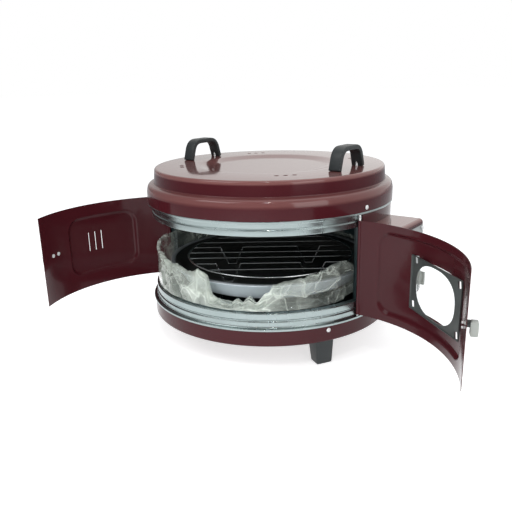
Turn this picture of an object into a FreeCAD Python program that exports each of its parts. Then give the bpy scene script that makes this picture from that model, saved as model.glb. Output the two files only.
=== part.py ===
import FreeCAD, Part
import math
import os
import Sketcher

# Round electric tandoor oven: a drum on three feet, two curved doors on vertical pins,
# a bolted lid with two strap handles, heating rings above and below, a tray with a wire
# rack, and a control box on the right. Millimetres, +Z up, doors towards -Y.
# The origin is on the drum's axis at floor level. A bearing is an angle about +Z that
# starts at the front (-Y) and grows towards +X.

doc = FreeCAD.newDocument("tandoor_oven")
sheet = doc.addObject("Spreadsheet::Sheet", "Sizes")
nodes = {}


class Size:
    """A length or an angle in degrees: its value and the formula that gives it."""

    def __init__(self, text, value):
        self.text = text
        self.value = float(value)

    def __add__(self, other):
        return joined(self, "+", other, lambda a, b: a + b)

    def __radd__(self, other):
        return joined(other, "+", self, lambda a, b: a + b)

    def __sub__(self, other):
        return joined(self, "-", other, lambda a, b: a - b)

    def __rsub__(self, other):
        return joined(other, "-", self, lambda a, b: a - b)

    def __mul__(self, other):
        return joined(self, "*", other, lambda a, b: a * b)

    def __rmul__(self, other):
        return joined(other, "*", self, lambda a, b: a * b)

    def __truediv__(self, other):
        return joined(self, "/", other, lambda a, b: a / b)

    def __rtruediv__(self, other):
        return joined(other, "/", self, lambda a, b: a / b)

    def __neg__(self):
        return joined(0, "-", self, lambda a, b: a - b)


def sized(value):
    if isinstance(value, Size):
        return value
    return Size("(%.6f)" % value, value)


def joined(first, sign, second, rule):
    first = sized(first)
    second = sized(second)
    return Size("(%s %s %s)" % (first.text, sign, second.text), rule(first.value, second.value))


def sine(angle):
    angle = sized(angle)
    return Size("sin(%s)" % angle.text, math.sin(math.radians(angle.value)))


def cosine(angle):
    angle = sized(angle)
    return Size("cos(%s)" % angle.text, math.cos(math.radians(angle.value)))


def root(value):
    value = sized(value)
    return Size("sqrt(%s)" % value.text, math.sqrt(value.value))


def size(name, value):
    """Write one driving dimension to the sheet."""
    size.row += 1
    sheet.set("A%d" % size.row, name)
    sheet.set("B%d" % size.row, "%g" % value)
    sheet.setAlias("B%d" % size.row, name)
    return Size("Sizes.%s" % name, value)


size.row = 0

# Drum and sheet metal
drum_radius = size("drum_radius", 228)
sheet_wall = size("sheet_wall", 1)
seat_gap = size("seat_gap", 0.3)
foot_height = size("foot_height", 46)
band_height = size("band_height", 28)
band_edge = size("band_edge", 3)

# Aluminium trim rings
lip_overhang = size("lip_overhang", 2)
lip_height = size("lip_height", 4)
lower_trim_height = size("lower_trim_height", 29)
upper_trim_height = size("upper_trim_height", 26)
trim_face_inset = size("trim_face_inset", 5.5)
trim_wall = size("trim_wall", 2)
web_inset = size("web_inset", 16)
ridge_rise = size("ridge_rise", 1.1)
ridge_width = size("ridge_width", 5)
skirt_wall = size("skirt_wall", 1.2)
skirt_height = size("skirt_height", 14)
opening_height = size("opening_height", 129)
shell_clearance = size("shell_clearance", 2.4)

# Lid
lid_rim_height = size("lid_rim_height", 20)
lid_wall = size("lid_wall", 1.2)
shoulder_height = size("shoulder_height", 15)
tier_inset = size("tier_inset", 12)
tier_lean = size("tier_lean", 2)
tier_height = size("tier_height", 26)
tier_edge_round = size("tier_edge_round", 6)
shoulder_round = size("shoulder_round", 7)
dish_rim_radius = size("dish_rim_radius", 132)
dish_floor_radius = size("dish_floor_radius", 106)
dish_depth = size("dish_depth", 5)
vent_radius = size("vent_radius", 4.2)
vent_pitch = size("vent_pitch", 15)
vent_ring_radius = size("vent_ring_radius", 163)

# Lid handles
handle_ring_radius = size("handle_ring_radius", 165)
handle_leg_span = size("handle_leg_span", 74)
handle_rise = size("handle_rise", 40)
handle_width = size("handle_width", 20)
handle_leg = size("handle_leg", 17)
handle_strap = size("handle_strap", 8)
handle_lean = size("handle_lean", 5)
handle_screw_radius = size("handle_screw_radius", 2)
handle_screw_depth = size("handle_screw_depth", 12)

# Doors
hinge_bearing = size("hinge_bearing", 76)
hinge_inset = size("hinge_inset", 1)
rod_radius = size("rod_radius", 1.8)
knuckle_radius = size("knuckle_radius", 2.9)
running_gap = size("running_gap", 0.05)
door_inset = size("door_inset", 1.5)
door_foot_gap = size("door_foot_gap", 2)
door_head_gap = size("door_head_gap", 9.5)
door_meeting_gap = size("door_meeting_gap", 0.2)
leaf_clearance = size("leaf_clearance", 0.5)
panel_depth = size("panel_depth", 5)
panel_corner = size("panel_corner", 14)
right_door_open = size("right_door_open", 107)
left_door_open = size("left_door_open", 61)
right_panel_start = size("right_panel_start", 11.5)
right_panel_end = size("right_panel_end", 67.5)
right_panel_foot = size("right_panel_foot", 92)
right_panel_top = size("right_panel_top", 233)
left_panel_start = size("left_panel_start", 20.5)
left_panel_end = size("left_panel_end", 59)
left_panel_foot = size("left_panel_foot", 107)
left_panel_top = size("left_panel_top", 222)
slit_bearing = size("slit_bearing", 36.8)
slit_pitch = size("slit_pitch", 3.5)
slit_width = size("slit_width", 2)
slit_length = size("slit_length", 38)
slit_middle = size("slit_middle", 169)

# Window in the right door
window_bearing = size("window_bearing", 33.9)
window_middle = size("window_middle", 162.5)
window_radius = size("window_radius", 52)
window_half_height = size("window_half_height", 38)
frame_half_width = size("frame_half_width", 64)
frame_half_height = size("frame_half_height", 44)
frame_wall = size("frame_wall", 1)
frame_fold = size("frame_fold", 5)
glass_wall = size("glass_wall", 2)
glass_margin = size("glass_margin", 5)
slot_width = size("slot_width", 4)
slot_length = size("slot_length", 8)

# Door latch
latch_bearing = size("latch_bearing", 4.6)
latch_middle = size("latch_middle", 167)
latch_neck_radius = size("latch_neck_radius", 5)
latch_neck_length = size("latch_neck_length", 5)
latch_button_length = size("latch_button_length", 22)
latch_button_width = size("latch_button_width", 10)
latch_button_depth = size("latch_button_depth", 10)
latch_pin_radius = size("latch_pin_radius", 2)
latch_screw_pitch = size("latch_screw_pitch", 3.5)
latch_screw_bearing = size("latch_screw_bearing", 9)
latch_screw_drop = size("latch_screw_drop", 9.5)
keeper_start = size("keeper_start", 2.2)
keeper_end = size("keeper_end", 16.8)
keeper_foot = size("keeper_foot", 148)
keeper_top = size("keeper_top", 186)
keeper_wall = size("keeper_wall", 1.5)
rivet_height = size("rivet_height", 167)
rivet_near = size("rivet_near", 8.5)
rivet_far = size("rivet_far", 12.3)
rivet_radius = size("rivet_radius", 2)

# Control box on the right
box_reach = size("box_reach", 285)
box_front = size("box_front", -44)
box_back = size("box_back", 60)
box_foot = size("box_foot", 98)
box_top = size("box_top", 234)
box_edge = size("box_edge", 7)
face_margin = size("face_margin", 9)
face_wall = size("face_wall", 2)
knob_column = size("knob_column", 8)
selector_height = size("selector_height", 143)
thermostat_height = size("thermostat_height", 197)
knob_radius = size("knob_radius", 15)
knob_depth = size("knob_depth", 19)
knob_gap = size("knob_gap", 1)
spindle_radius = size("spindle_radius", 3)
lamp_height = size("lamp_height", 170)
lamp_radius = size("lamp_radius", 4)
module_depth = size("module_depth", 26)
module_width = size("module_width", 36)
module_height = size("module_height", 32)
probe_radius = size("probe_radius", 2.5)
probe_reach = size("probe_reach", 196)
gland_radius = size("gland_radius", 9)
cord_hole_radius = size("cord_hole_radius", 4)
gland_height = size("gland_height", 122)
gland_wall = size("gland_wall", 2)
gland_flange = size("gland_flange", 4)
gland_inside = size("gland_inside", 6)
gland_outside = size("gland_outside", 14)
box_sink = size("box_sink", 30)
face_screw_inset = size("face_screw_inset", 2)
lamp_cap_radius = size("lamp_cap_radius", 5.6)
lamp_cap_rise = size("lamp_cap_rise", 3)
probe_seat = size("probe_seat", 6.5)
spindle_reach = size("spindle_reach", 13.3)
knob_skirt = size("knob_skirt", 6.65)
knob_body_radius = size("knob_body_radius", 12)
knob_bar_depth = size("knob_bar_depth", 7.6)
knob_bar_width = size("knob_bar_width", 7.5)
knob_bar_length = size("knob_bar_length", 22.5)
knob_bar_sink = size("knob_bar_sink", 3.8)
tool_margin = size("tool_margin", 1)

# Oven chamber
pan_overlap = size("pan_overlap", 6)
floor_pan_drop = size("floor_pan_drop", 43)
reflector_rise = size("reflector_rise", 28)
element_radius = size("element_radius", 140)
element_wire = size("element_wire", 3.5)
element_gap = size("element_gap", 16)
upper_element_height = size("upper_element_height", 246)
lower_element_height = size("lower_element_height", 70)
lower_element_tail = size("lower_element_tail", 8)
upper_element_tail = size("upper_element_tail", 14)
support_width = size("support_width", 16.8)
stand_radius = size("stand_radius", 152)
stand_wire = size("stand_wire", 2.5)
stand_top = size("stand_top", 106)

# Tray and rack
tray_floor_radius = size("tray_floor_radius", 168)
tray_rim_radius = size("tray_rim_radius", 188)
tray_depth = size("tray_depth", 36)
tray_lip = size("tray_lip", 6)
rack_radius = size("rack_radius", 160)
rack_rim_wire = size("rack_rim_wire", 2.2)
rack_wire = size("rack_wire", 1.7)
elbow_bulge = size("elbow_bulge", 0.06)
rack_pitch = size("rack_pitch", 37.5)
rack_height = size("rack_height", 38)
rack_turn = size("rack_turn", 35.5)
rack_leg_place = size("rack_leg_place", 78)
rack_leg_top = size("rack_leg_top", 47)
rack_leg_foot = size("rack_leg_foot", 16)
film_wall = size("film_wall", 1)
film_spread = size("film_spread", 14)
film_hang = size("film_hang", 24.75)
film_tuck = size("film_tuck", 27.5)

# Fasteners
screw_radius = size("screw_radius", 1.7)
screw_head_radius = size("screw_head_radius", 3.4)
screw_head_height = size("screw_head_height", 2)
screw_length = size("screw_length", 8)

# Feet
foot_inset = size("foot_inset", 24)
foot_bearing = size("foot_bearing", 60)
foot_width = size("foot_width", 36)
foot_thickness = size("foot_thickness", 30)
foot_taper = size("foot_taper", 4)
foot_screw_radius = size("foot_screw_radius", 2.5)
foot_screw_depth = size("foot_screw_depth", 16)

# Radii of the drum's sheets, from its wall
lip_radius = drum_radius + lip_overhang
trim_face_radius = drum_radius - trim_face_inset
web_radius = drum_radius - web_inset
pan_radius = web_radius + pan_overlap
hinge_radius = drum_radius - hinge_inset
door_inner_radius = hinge_radius - door_inset
tier_foot_radius = drum_radius - tier_inset
tier_top_radius = tier_foot_radius - tier_lean
foot_ring_radius = drum_radius - foot_inset

# Heights of the seams, from the floor up
band_top = foot_height + band_height
lower_lip_top = band_top + lip_height
sill = band_top + lower_trim_height
head = sill + opening_height
rim_seat = head + upper_trim_height
upper_lip_foot = rim_seat - lip_height
shoulder_foot = rim_seat + lid_rim_height
tier_foot = shoulder_foot + shoulder_height
lid_top = tier_foot + tier_height
door_foot = lower_lip_top + door_foot_gap
door_top = upper_lip_foot - door_head_gap
door_outer_radius = door_inner_radius + sheet_wall
shell_inner_radius = drum_radius - sheet_wall
skirt_radius = shell_inner_radius - seat_gap
chamber_floor = sill - trim_wall - floor_pan_drop
chamber_roof = head + trim_wall + reflector_rise
liner_outer_radius = web_radius + sheet_wall


def keep(name, part):
    """File a finished piece under its node name."""
    part.Label = name
    nodes[name] = part
    return part


def bind(part, prop, value):
    """Tie one property to the sheet."""
    part.setExpression(prop, sized(value).text)


def place(part, x=0, y=0, z=0, turn=None, axis=(0, 0, 1)):
    """Put a part at a point, turned about an axis."""
    for letter, value in zip("xyz", (x, y, z)):
        bind(part, "Placement.Base." + letter, value)
    if turn is None:
        return part
    for letter, value in zip("xyz", axis):
        bind(part, "Placement.Rotation.Axis." + letter, value)
    bind(part, "Placement.Rotation.Angle", turn)
    return part


def spot(radius, bearing):
    """The x and y of a point at a radius and bearing."""
    return radius * sine(bearing), -(radius * cosine(bearing))


def cylinder(radius, height, x=0, y=0, z=0):
    part = doc.addObject("Part::Cylinder", "cylinder")
    bind(part, "Radius", radius)
    bind(part, "Height", height)
    return place(part, x, y, z)


def radial_cylinder(radius, start, length, bearing, z, aside=0):
    """A cylinder that points away from the drum's axis, moved sideways if asked."""
    part = doc.addObject("Part::Cylinder", "cylinder")
    bind(part, "Radius", radius)
    bind(part, "Height", length)
    x, y = spot(start, bearing)
    x = x + aside * cosine(bearing)
    y = y + aside * sine(bearing)
    return place(part, x, y, z, 90, (cosine(bearing), sine(bearing), 0))


def block(length, width, height, x=0, y=0, z=0):
    part = doc.addObject("Part::Box", "block")
    bind(part, "Length", length)
    bind(part, "Width", width)
    bind(part, "Height", height)
    return place(part, x, y, z)


def radial_block(start, length, width, foot, height, bearing):
    """A box whose length points away from the drum's axis."""
    part = doc.addObject("Part::Box", "block")
    bind(part, "Length", length)
    bind(part, "Width", width)
    bind(part, "Height", height)
    half = sized(width) / 2
    x = start * sine(bearing) - half * cosine(bearing)
    y = -(start * cosine(bearing)) - half * sine(bearing)
    return place(part, x, y, foot, bearing - 90)


def pie(radius, foot, height, start, sweep):
    """A wedge of a drum between two bearings."""
    part = doc.addObject("Part::Cylinder", "pie")
    bind(part, "Radius", radius)
    bind(part, "Height", height)
    bind(part, "Angle", sweep)
    return place(part, 0, 0, foot, start - 90)


def ring(wire, radius, z):
    part = doc.addObject("Part::Torus", "ring")
    bind(part, "Radius1", radius)
    bind(part, "Radius2", wire)
    return place(part, 0, 0, z)


def cut(part, *tools):
    """Take the tools away from a part."""
    tool = tools[0] if len(tools) == 1 else fuse(*tools)
    result = doc.addObject("Part::Cut", "cut")
    result.Base = part
    result.Tool = tool
    return result


def fuse(*parts):
    result = doc.addObject("Part::MultiFuse", "fuse")
    result.Shapes = list(parts)
    return result


def common(*parts):
    result = doc.addObject("Part::MultiCommon", "common")
    result.Shapes = list(parts)
    return result


def group(*parts):
    """Separate solids that share one node."""
    result = doc.addObject("Part::Compound", "group")
    result.Links = list(parts)
    return result


def curved_sheet(inner, outer, foot, top, start, end):
    """A plate bent to the drum between two bearings."""
    height = top - foot
    return cut(pie(outer, foot, height, start, end - start), cylinder(inner, height, 0, 0, foot))


def rounded(part, radius, wanted):
    """Round the edges of a part that the rule wants."""
    doc.recompute()
    result = doc.addObject("Part::Fillet", "rounded")
    result.Base = part
    reach = sized(radius).value
    chosen = []
    for number, edge in enumerate(part.Shape.Edges, 1):
        if wanted(edge):
            chosen.append((number, reach, reach))
    result.Edges = chosen
    return result


def outline_sketch(body, name, role, corners):
    """A closed run of corners on one of the body's own planes."""
    sketch = body.newObject("Sketcher::SketchObject", name)
    for feature in body.Origin.OriginFeatures:
        if feature.Role == role:
            sketch.AttachmentSupport = [(feature, "")]
    sketch.MapMode = "FlatFace"
    points = [FreeCAD.Vector(sized(u).value, sized(v).value, 0) for u, v in corners]
    count = len(points)
    for index in range(count):
        sketch.addGeometry(Part.LineSegment(points[index], points[(index + 1) % count]), False)
    for index in range(count):
        sketch.addConstraint(Sketcher.Constraint("Coincident", index, 2, (index + 1) % count, 1))
    for index, (u, v) in enumerate(corners):
        for kind, value in (("DistanceX", sized(u)), ("DistanceY", sized(v))):
            row = sketch.addConstraint(Sketcher.Constraint(kind, -1, 1, index, 1, value.value))
            sketch.setExpression("Constraints[%d]" % row, value.text)
    return sketch


def turned(name, corners, sweep=360, middle_bearing=90):
    """A body of revolution from corners given as radius and height."""
    body = doc.addObject("PartDesign::Body", name)
    sketch = outline_sketch(body, name + "_outline", "XZ_Plane", corners)
    spin = body.newObject("PartDesign::Revolution", name + "_turn")
    spin.Profile = sketch
    spin.ReferenceAxis = (sketch, ["V_Axis"])
    spin.Midplane = True
    bind(spin, "Angle", sweep)
    place(body, 0, 0, 0, sized(middle_bearing) - 90)
    return body


def round_circles(body, radius, circles):
    """Round the circular edges of a body that lie at the given radius and height."""
    doc.recompute()
    base = body.Tip
    names = []
    for number, edge in enumerate(base.Shape.Edges, 1):
        curve = edge.Curve
        if not isinstance(curve, Part.Circle):
            continue
        for wide, high in circles:
            near_radius = abs(curve.Radius - sized(wide).value) < 0.01
            near_height = abs(curve.Center.z - sized(high).value) < 0.01
            if near_radius and near_height:
                names.append("Edge%d" % number)
    fillet = body.newObject("PartDesign::Fillet", body.Name + "_round")
    fillet.Base = (base, names)
    bind(fillet, "Radius", radius)
    return body


def swing(part, side):
    """Turn a closed door's piece about its hinge to where it stands at rest."""
    bearing = hinge_bearing * side
    angle = right_door_open if side > 0 else -left_door_open
    hinge_x, hinge_y = spot(hinge_radius, bearing)
    x = hinge_x - (hinge_x * cosine(angle) - hinge_y * sine(angle))
    y = hinge_y - (hinge_x * sine(angle) + hinge_y * cosine(angle))
    return place(part, x, y, 0, angle)


def radial_screw(seat, bearing, z, length, aside=0):
    """A screw driven towards the drum's axis, its head on the seat radius."""
    head_part = radial_cylinder(screw_head_radius, seat, screw_head_height, bearing, z, aside)
    shank = radial_cylinder(screw_radius, seat - length, length, bearing, z, aside)
    return fuse(head_part, shank)


def radial_hole(seat, bearing, z, length, aside=0):
    return radial_cylinder(screw_radius + running_gap, seat - length, length * 2, bearing, z, aside)


def rod_chain(points, radius):
    """One bent wire: straight runs with round elbows."""
    shape = None
    for first, last in zip(points, points[1:]):
        run = last - first
        piece = Part.makeCylinder(radius, run.Length, first, run)
        shape = piece if shape is None else shape.fuse(piece)
    for elbow in points[1:-1]:
        shape = shape.fuse(Part.makeSphere(radius + elbow_bulge.value, elbow))
    return shape


def shaped(name, shape):
    """A piece whose shape is worked out from the sheet's values."""
    part = doc.addObject("Part::Feature", name)
    part.Shape = shape
    return keep(name, part)


# Bearings of the fasteners
lid_screw_bearings = [79, 180, -79]
band_screw_bearings = [60, 180, -60]
hinge_sides = [1, -1]


def build_base():
    """The bottom pan, its three feet and their screws."""
    pan = turned("base_pan_sheet", [
        (0, foot_height),
        (drum_radius - band_edge, foot_height),
        (drum_radius, foot_height + band_edge),
        (drum_radius, band_top),
        (shell_inner_radius, band_top),
        (shell_inner_radius, foot_height + band_edge),
        (drum_radius - band_edge, foot_height + sheet_wall),
        (0, foot_height + sheet_wall),
    ])
    holes = []
    screws = []
    for name, bearing in (
        ("front_left_foot", -foot_bearing),
        ("front_right_foot", foot_bearing),
        ("rear_foot", foot_bearing * 3),
    ):
        x, y = spot(foot_ring_radius, bearing)
        foot = build_foot(bearing)
        pilot = cylinder(foot_screw_radius + running_gap, foot_screw_depth, x, y, foot_height - foot_screw_depth)
        keep(name, cut(foot, pilot))
        holes.append(cylinder(foot_screw_radius + running_gap, sheet_wall * 3, x, y, foot_height - sheet_wall))
        shank_foot = foot_height - foot_screw_depth + seat_gap
        shank = cylinder(foot_screw_radius, foot_height + sheet_wall - shank_foot, x, y, shank_foot)
        screw_top = cylinder(foot_screw_radius * 2, screw_head_height, x, y, foot_height + sheet_wall)
        screws.append(fuse(shank, screw_top))
    for bearing in band_screw_bearings:
        holes.append(radial_hole(drum_radius, bearing, band_top - skirt_height / 2, screw_length))
    keep("base_pan", cut(pan, *holes))
    keep("foot_screws", group(*screws))


def build_foot(bearing):
    """A moulded foot that narrows towards the floor."""
    body = doc.addObject("PartDesign::Body", "foot")
    half_long = foot_thickness / 2
    half_wide = foot_width / 2
    sketch = outline_sketch(body, "foot_outline", "XY_Plane", [
        (-half_long, -half_wide), (half_long, -half_wide), (half_long, half_wide), (-half_long, half_wide),
    ])
    pad = body.newObject("PartDesign::Pad", "foot_pad")
    pad.Profile = sketch
    bind(pad, "Length", foot_height)
    pad.Reversed = True
    bind(pad, "TaperAngle", -foot_taper)
    doc.recompute()
    x, y = spot(foot_ring_radius, bearing)
    place(body, x, y, foot_height, bearing - 90)
    return body


def trim_outline(seam, direction, height):
    """A trim ring's section: lip at the seam, ridged face, web towards the chamber, skirt past the seam."""
    face = trim_face_radius
    ridge = face + ridge_rise
    middle = seam + direction * (lip_height + height) / 2
    half = direction * ridge_width / 2
    inside = face - trim_wall
    return [
        (inside, seam),
        (skirt_radius - skirt_wall, seam),
        (skirt_radius - skirt_wall, seam - direction * skirt_height),
        (skirt_radius, seam - direction * skirt_height),
        (skirt_radius, seam),
        (lip_radius, seam),
        (lip_radius, seam + direction * lip_height),
        (face, seam + direction * lip_height),
        (face, middle - half),
        (ridge, middle - half / 2),
        (ridge, middle + half / 2),
        (face, middle + half),
        (face, seam + direction * height),
        (web_radius, seam + direction * height),
        (web_radius, seam + direction * (height - trim_wall)),
        (inside, seam + direction * (height - trim_wall)),
    ]


def build_trims():
    """The two aluminium rings that hold the shells, the doors and the lid together."""
    lower = turned("lower_trim_section", trim_outline(band_top, 1, lower_trim_height))
    upper = turned("upper_trim_section", trim_outline(rim_seat, -1, upper_trim_height))
    lower_holes = []
    upper_holes = []
    for side in hinge_sides:
        x, y = spot(hinge_radius, hinge_bearing * side)
        lower_holes.append(cylinder(rod_radius + running_gap, lip_height, x, y, band_top))
        upper_holes.append(cylinder(rod_radius + running_gap, lip_height, x, y, upper_lip_foot))
    for bearing in band_screw_bearings:
        lower_holes.append(radial_hole(drum_radius, bearing, band_top - skirt_height / 2, screw_length))
    for bearing in lid_screw_bearings:
        upper_holes.append(radial_hole(lip_radius, bearing, rim_seat + skirt_height / 2, screw_length))
    keep("lower_trim_ring", cut(lower, *lower_holes))
    keep("upper_trim_ring", cut(upper, *upper_holes))


def build_hinge_rods():
    """The two steel pins that the doors turn on."""
    for name, side in (("right_hinge_rod", 1), ("left_hinge_rod", -1)):
        x, y = spot(hinge_radius, hinge_bearing * side)
        keep(name, cylinder(rod_radius, rim_seat - band_top, x, y, band_top))


def build_shells():
    """The enamelled back wall, the dark liner inside it and the two jambs."""
    shell_start = hinge_bearing + (knuckle_radius + shell_clearance) / hinge_radius * (180 / math.pi)
    sweep = 360 - shell_start * 2
    shell = turned("rear_shell_sheet", [
        (shell_inner_radius, lower_lip_top),
        (drum_radius, lower_lip_top),
        (drum_radius, upper_lip_foot),
        (shell_inner_radius, upper_lip_foot),
    ], sweep, 180)
    liner = turned("inner_liner_sheet", [
        (web_radius, sill),
        (liner_outer_radius, sill),
        (liner_outer_radius, head),
        (web_radius, head),
    ], sweep, 180)
    probe_path = cylinder_along_x(probe_radius + seat_gap, probe_reach, box_reach, knob_column, thermostat_height)
    keep("rear_shell", cut(shell, probe_path))
    keep("inner_liner", cut(liner, probe_path))
    thickness = sheet_wall * 2 / hinge_radius * (180 / math.pi)
    for name, side in (("right_jamb", 1), ("left_jamb", -1)):
        first = shell_start + thickness / 2
        start = first if side > 0 else -(first + thickness)
        keep(name, curved_sheet(
            liner_outer_radius + seat_gap, shell_inner_radius - seat_gap, sill, head, start, start + thickness))


def cylinder_along_x(radius, start, end, y, z):
    part = doc.addObject("Part::Cylinder", "cylinder")
    bind(part, "Radius", radius)
    bind(part, "Height", sized(end) - start)
    return place(part, start, y, z, 90, (0, 1, 0))


def build_lid():
    """The stepped lid with its shallow dish and vents, held by screws in its rim."""
    inner_rim = lip_radius - lid_wall
    low = lid_wall / 2
    body = turned("lid_sheet", [
        (inner_rim, rim_seat),
        (lip_radius, rim_seat),
        (lip_radius, shoulder_foot),
        (tier_foot_radius, tier_foot),
        (tier_top_radius, lid_top),
        (dish_rim_radius, lid_top),
        (dish_floor_radius, lid_top - dish_depth),
        (0, lid_top - dish_depth),
        (0, lid_top - dish_depth - lid_wall),
        (dish_floor_radius, lid_top - dish_depth - lid_wall),
        (dish_rim_radius, lid_top - lid_wall),
        (tier_top_radius - lid_wall, lid_top - lid_wall),
        (tier_foot_radius - lid_wall, tier_foot - low),
        (inner_rim, shoulder_foot - low),
    ])
    round_circles(body, tier_edge_round, [(tier_top_radius, lid_top)])
    round_circles(body, shoulder_round, [(lip_radius, shoulder_foot)])
    tools = []
    for bearing in (45, 135, -45, -135):
        for step in (-1, 0, 1):
            x, y = spot(vent_ring_radius, bearing)
            x = x + vent_pitch * step * cosine(bearing)
            y = y + vent_pitch * step * sine(bearing)
            tools.append(cylinder(vent_radius, lid_wall * 4, x, y, lid_top - lid_wall * 2))
    for side in hinge_sides:
        for end in (-1, 1):
            x = handle_ring_radius * side
            y = handle_leg_span / 2 * end
            tools.append(cylinder(handle_screw_radius + running_gap, lid_wall * 4, x, y, lid_top - lid_wall * 2))
    screws = []
    for bearing in lid_screw_bearings:
        screw_height = rim_seat + skirt_height / 2
        tools.append(radial_hole(lip_radius, bearing, screw_height, screw_length))
        screws.append(radial_screw(lip_radius, bearing, screw_height, screw_length))
    keep("lid", cut(body, *tools))
    keep("lid_rim_screws", group(*screws))
    band_screws = []
    for bearing in band_screw_bearings:
        band_screws.append(radial_screw(drum_radius, bearing, band_top - skirt_height / 2, screw_length))
    keep("band_screws", group(*band_screws))


def build_lid_handles():
    """Two moulded strap handles, each held from below by two screws."""
    screws = []
    for name, side in (("right_lid_handle", 1), ("left_lid_handle", -1)):
        body = doc.addObject("PartDesign::Body", name + "_strap")
        half_span = handle_leg_span / 2
        foot_out = half_span + handle_leg / 2
        foot_in = half_span - handle_leg / 2
        under = handle_rise - handle_strap
        sketch = outline_sketch(body, name + "_outline", "YZ_Plane", [
            (-foot_out, 0),
            (-(foot_out - handle_lean), handle_rise),
            (foot_out - handle_lean, handle_rise),
            (foot_out, 0),
            (foot_in, 0),
            (foot_in - handle_lean, under),
            (-(foot_in - handle_lean), under),
            (-foot_in, 0),
        ])
        pad = body.newObject("PartDesign::Pad", name + "_pad")
        pad.Profile = sketch
        pad.Midplane = True
        bind(pad, "Length", handle_width)
        place(body, handle_ring_radius * side, 0, lid_top)
        pilots = []
        for end in (-1, 1):
            x = handle_ring_radius * side
            y = half_span * end
            pilots.append(cylinder(handle_screw_radius + running_gap, handle_screw_depth, x, y, lid_top))
            shank_top = lid_top + handle_screw_depth - seat_gap
            shank_foot = lid_top - lid_wall
            shank = cylinder(handle_screw_radius, shank_top - shank_foot, x, y, shank_foot)
            screw_top = cylinder(screw_head_radius, screw_head_height, x, y, shank_foot - screw_head_height)
            screws.append(fuse(shank, screw_top))
        crest = handle_rise.value + lid_top.value
        soft = rounded(body, handle_strap / 2, lambda edge: is_level_crest(edge, crest))
        keep(name, cut(soft, *pilots))
    keep("lid_handle_screws", group(*screws))


def is_level_crest(edge, crest):
    """The two top edges across a handle, where the strap turns down into its legs."""
    box = edge.BoundBox
    along_x = box.XLength > 1 and box.YLength < 0.01 and box.ZLength < 0.01
    return along_x and abs(box.ZMax - crest) < 0.01


def build_door_sheet(side, start, end, foot, top):
    """A door leaf at its closed place: curved sheet, pressed panel and hinge tube."""
    edge = hinge_bearing - (rod_radius + running_gap + leaf_clearance) / hinge_radius * (180 / math.pi)
    wall = sheet_wall / door_inner_radius * (180 / math.pi)
    panel_inner = door_inner_radius + panel_depth

    def arc(first, last):
        return (first, last) if side > 0 else (-last, -first)

    leaf_arc = arc(door_meeting_gap, edge)
    panel_arc = arc(start, end)
    hollow_arc = arc(start + wall, end - wall)
    leaf = curved_sheet(door_inner_radius, door_outer_radius, door_foot, door_top, *leaf_arc)
    bulge = curved_sheet(door_inner_radius, panel_inner + sheet_wall, foot, top, *panel_arc)
    bulge = rounded(bulge, panel_corner, is_radial_edge)
    hollow = curved_sheet(
        door_inner_radius - sheet_wall, panel_inner, foot + sheet_wall, top - sheet_wall, *hollow_arc)
    hollow = rounded(hollow, panel_corner - sheet_wall, is_radial_edge)
    hinge_x, hinge_y = spot(hinge_radius, hinge_bearing * side)
    knuckle = cylinder(knuckle_radius, door_top - door_foot, hinge_x, hinge_y, door_foot)
    bore = cylinder(rod_radius + running_gap, door_top - door_foot, hinge_x, hinge_y, door_foot)
    return fuse(cut(fuse(leaf, bulge), hollow), knuckle), bore


def is_radial_edge(edge):
    """A level straight edge that points at the drum's axis."""
    straight = isinstance(edge.Curve, Part.Line)
    return straight and edge.BoundBox.ZLength < 0.01


def build_right_door():
    """The right leaf with its window, flat glass, flat retainer frame and latch."""
    leaf, bore = build_door_sheet(1, right_panel_start, right_panel_end, right_panel_foot, right_panel_top)
    panel_inner = door_inner_radius + panel_depth
    tool_start = panel_inner - frame_fold * 3
    tool_length = frame_fold * 6
    arc_step = 180 / math.pi / panel_inner
    slots = []
    for across in (-1, 1):
        bearing = window_bearing + (frame_half_width - slot_width * 1.5) * arc_step * across
        for up in (-1, 1):
            foot = window_middle + (frame_half_height - slot_length) * up - slot_length / 2
            slots.append(radial_block(tool_start, tool_length, slot_width, foot, slot_length, bearing))
    opening = window_tool(window_radius + glass_margin / 2, window_half_height + glass_margin / 2)
    pin_hole = radial_cylinder(
        latch_pin_radius + running_gap, door_inner_radius - sheet_wall, sheet_wall * 3, latch_bearing,
        latch_middle)
    keep("right_door", swing(cut(leaf, bore, opening, pin_hole, *slots), 1))

    glass_half_wide = window_radius + glass_margin
    glass_half_high = window_half_height + glass_margin
    glass_outer = chord_reach(panel_inner, glass_half_wide) - seat_gap
    glass_inner = glass_outer - glass_wall
    pane = radial_block(
        glass_inner, glass_wall, glass_half_wide * 2, window_middle - glass_half_high, glass_half_high * 2,
        window_bearing)
    keep("window_glass", swing(common(pane, window_tool(glass_half_wide, glass_half_high)), 1))

    frame_outer = glass_inner - seat_gap
    frame_inner = frame_outer - frame_wall
    frame_foot = window_middle - frame_half_height
    frame_top = window_middle + frame_half_height
    width = frame_half_width * 2
    plate = radial_block(frame_inner, frame_wall, width, frame_foot, frame_half_height * 2, window_bearing)
    fold_start = frame_inner - frame_fold
    fold_length = frame_fold + frame_wall
    fold_foot = radial_block(fold_start, fold_length, width, frame_foot, frame_wall, window_bearing)
    fold_top = radial_block(fold_start, fold_length, width, frame_top - frame_wall, frame_wall, window_bearing)
    leg_length = chord_reach(panel_inner, frame_half_width) - seat_gap - frame_inner
    leg_foot = window_middle - slot_length
    legs = cut(
        radial_block(frame_inner, leg_length, width, leg_foot, slot_length * 2, window_bearing),
        radial_block(
            frame_inner - frame_wall, leg_length + frame_wall * 2, width - frame_wall * 2, leg_foot,
            slot_length * 2, window_bearing))
    opening = window_tool(window_radius, window_half_height)
    keep("window_frame", swing(cut(fuse(plate, fold_foot, fold_top, legs), opening, *slots), 1))
    build_latch(latch_bearing)


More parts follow.
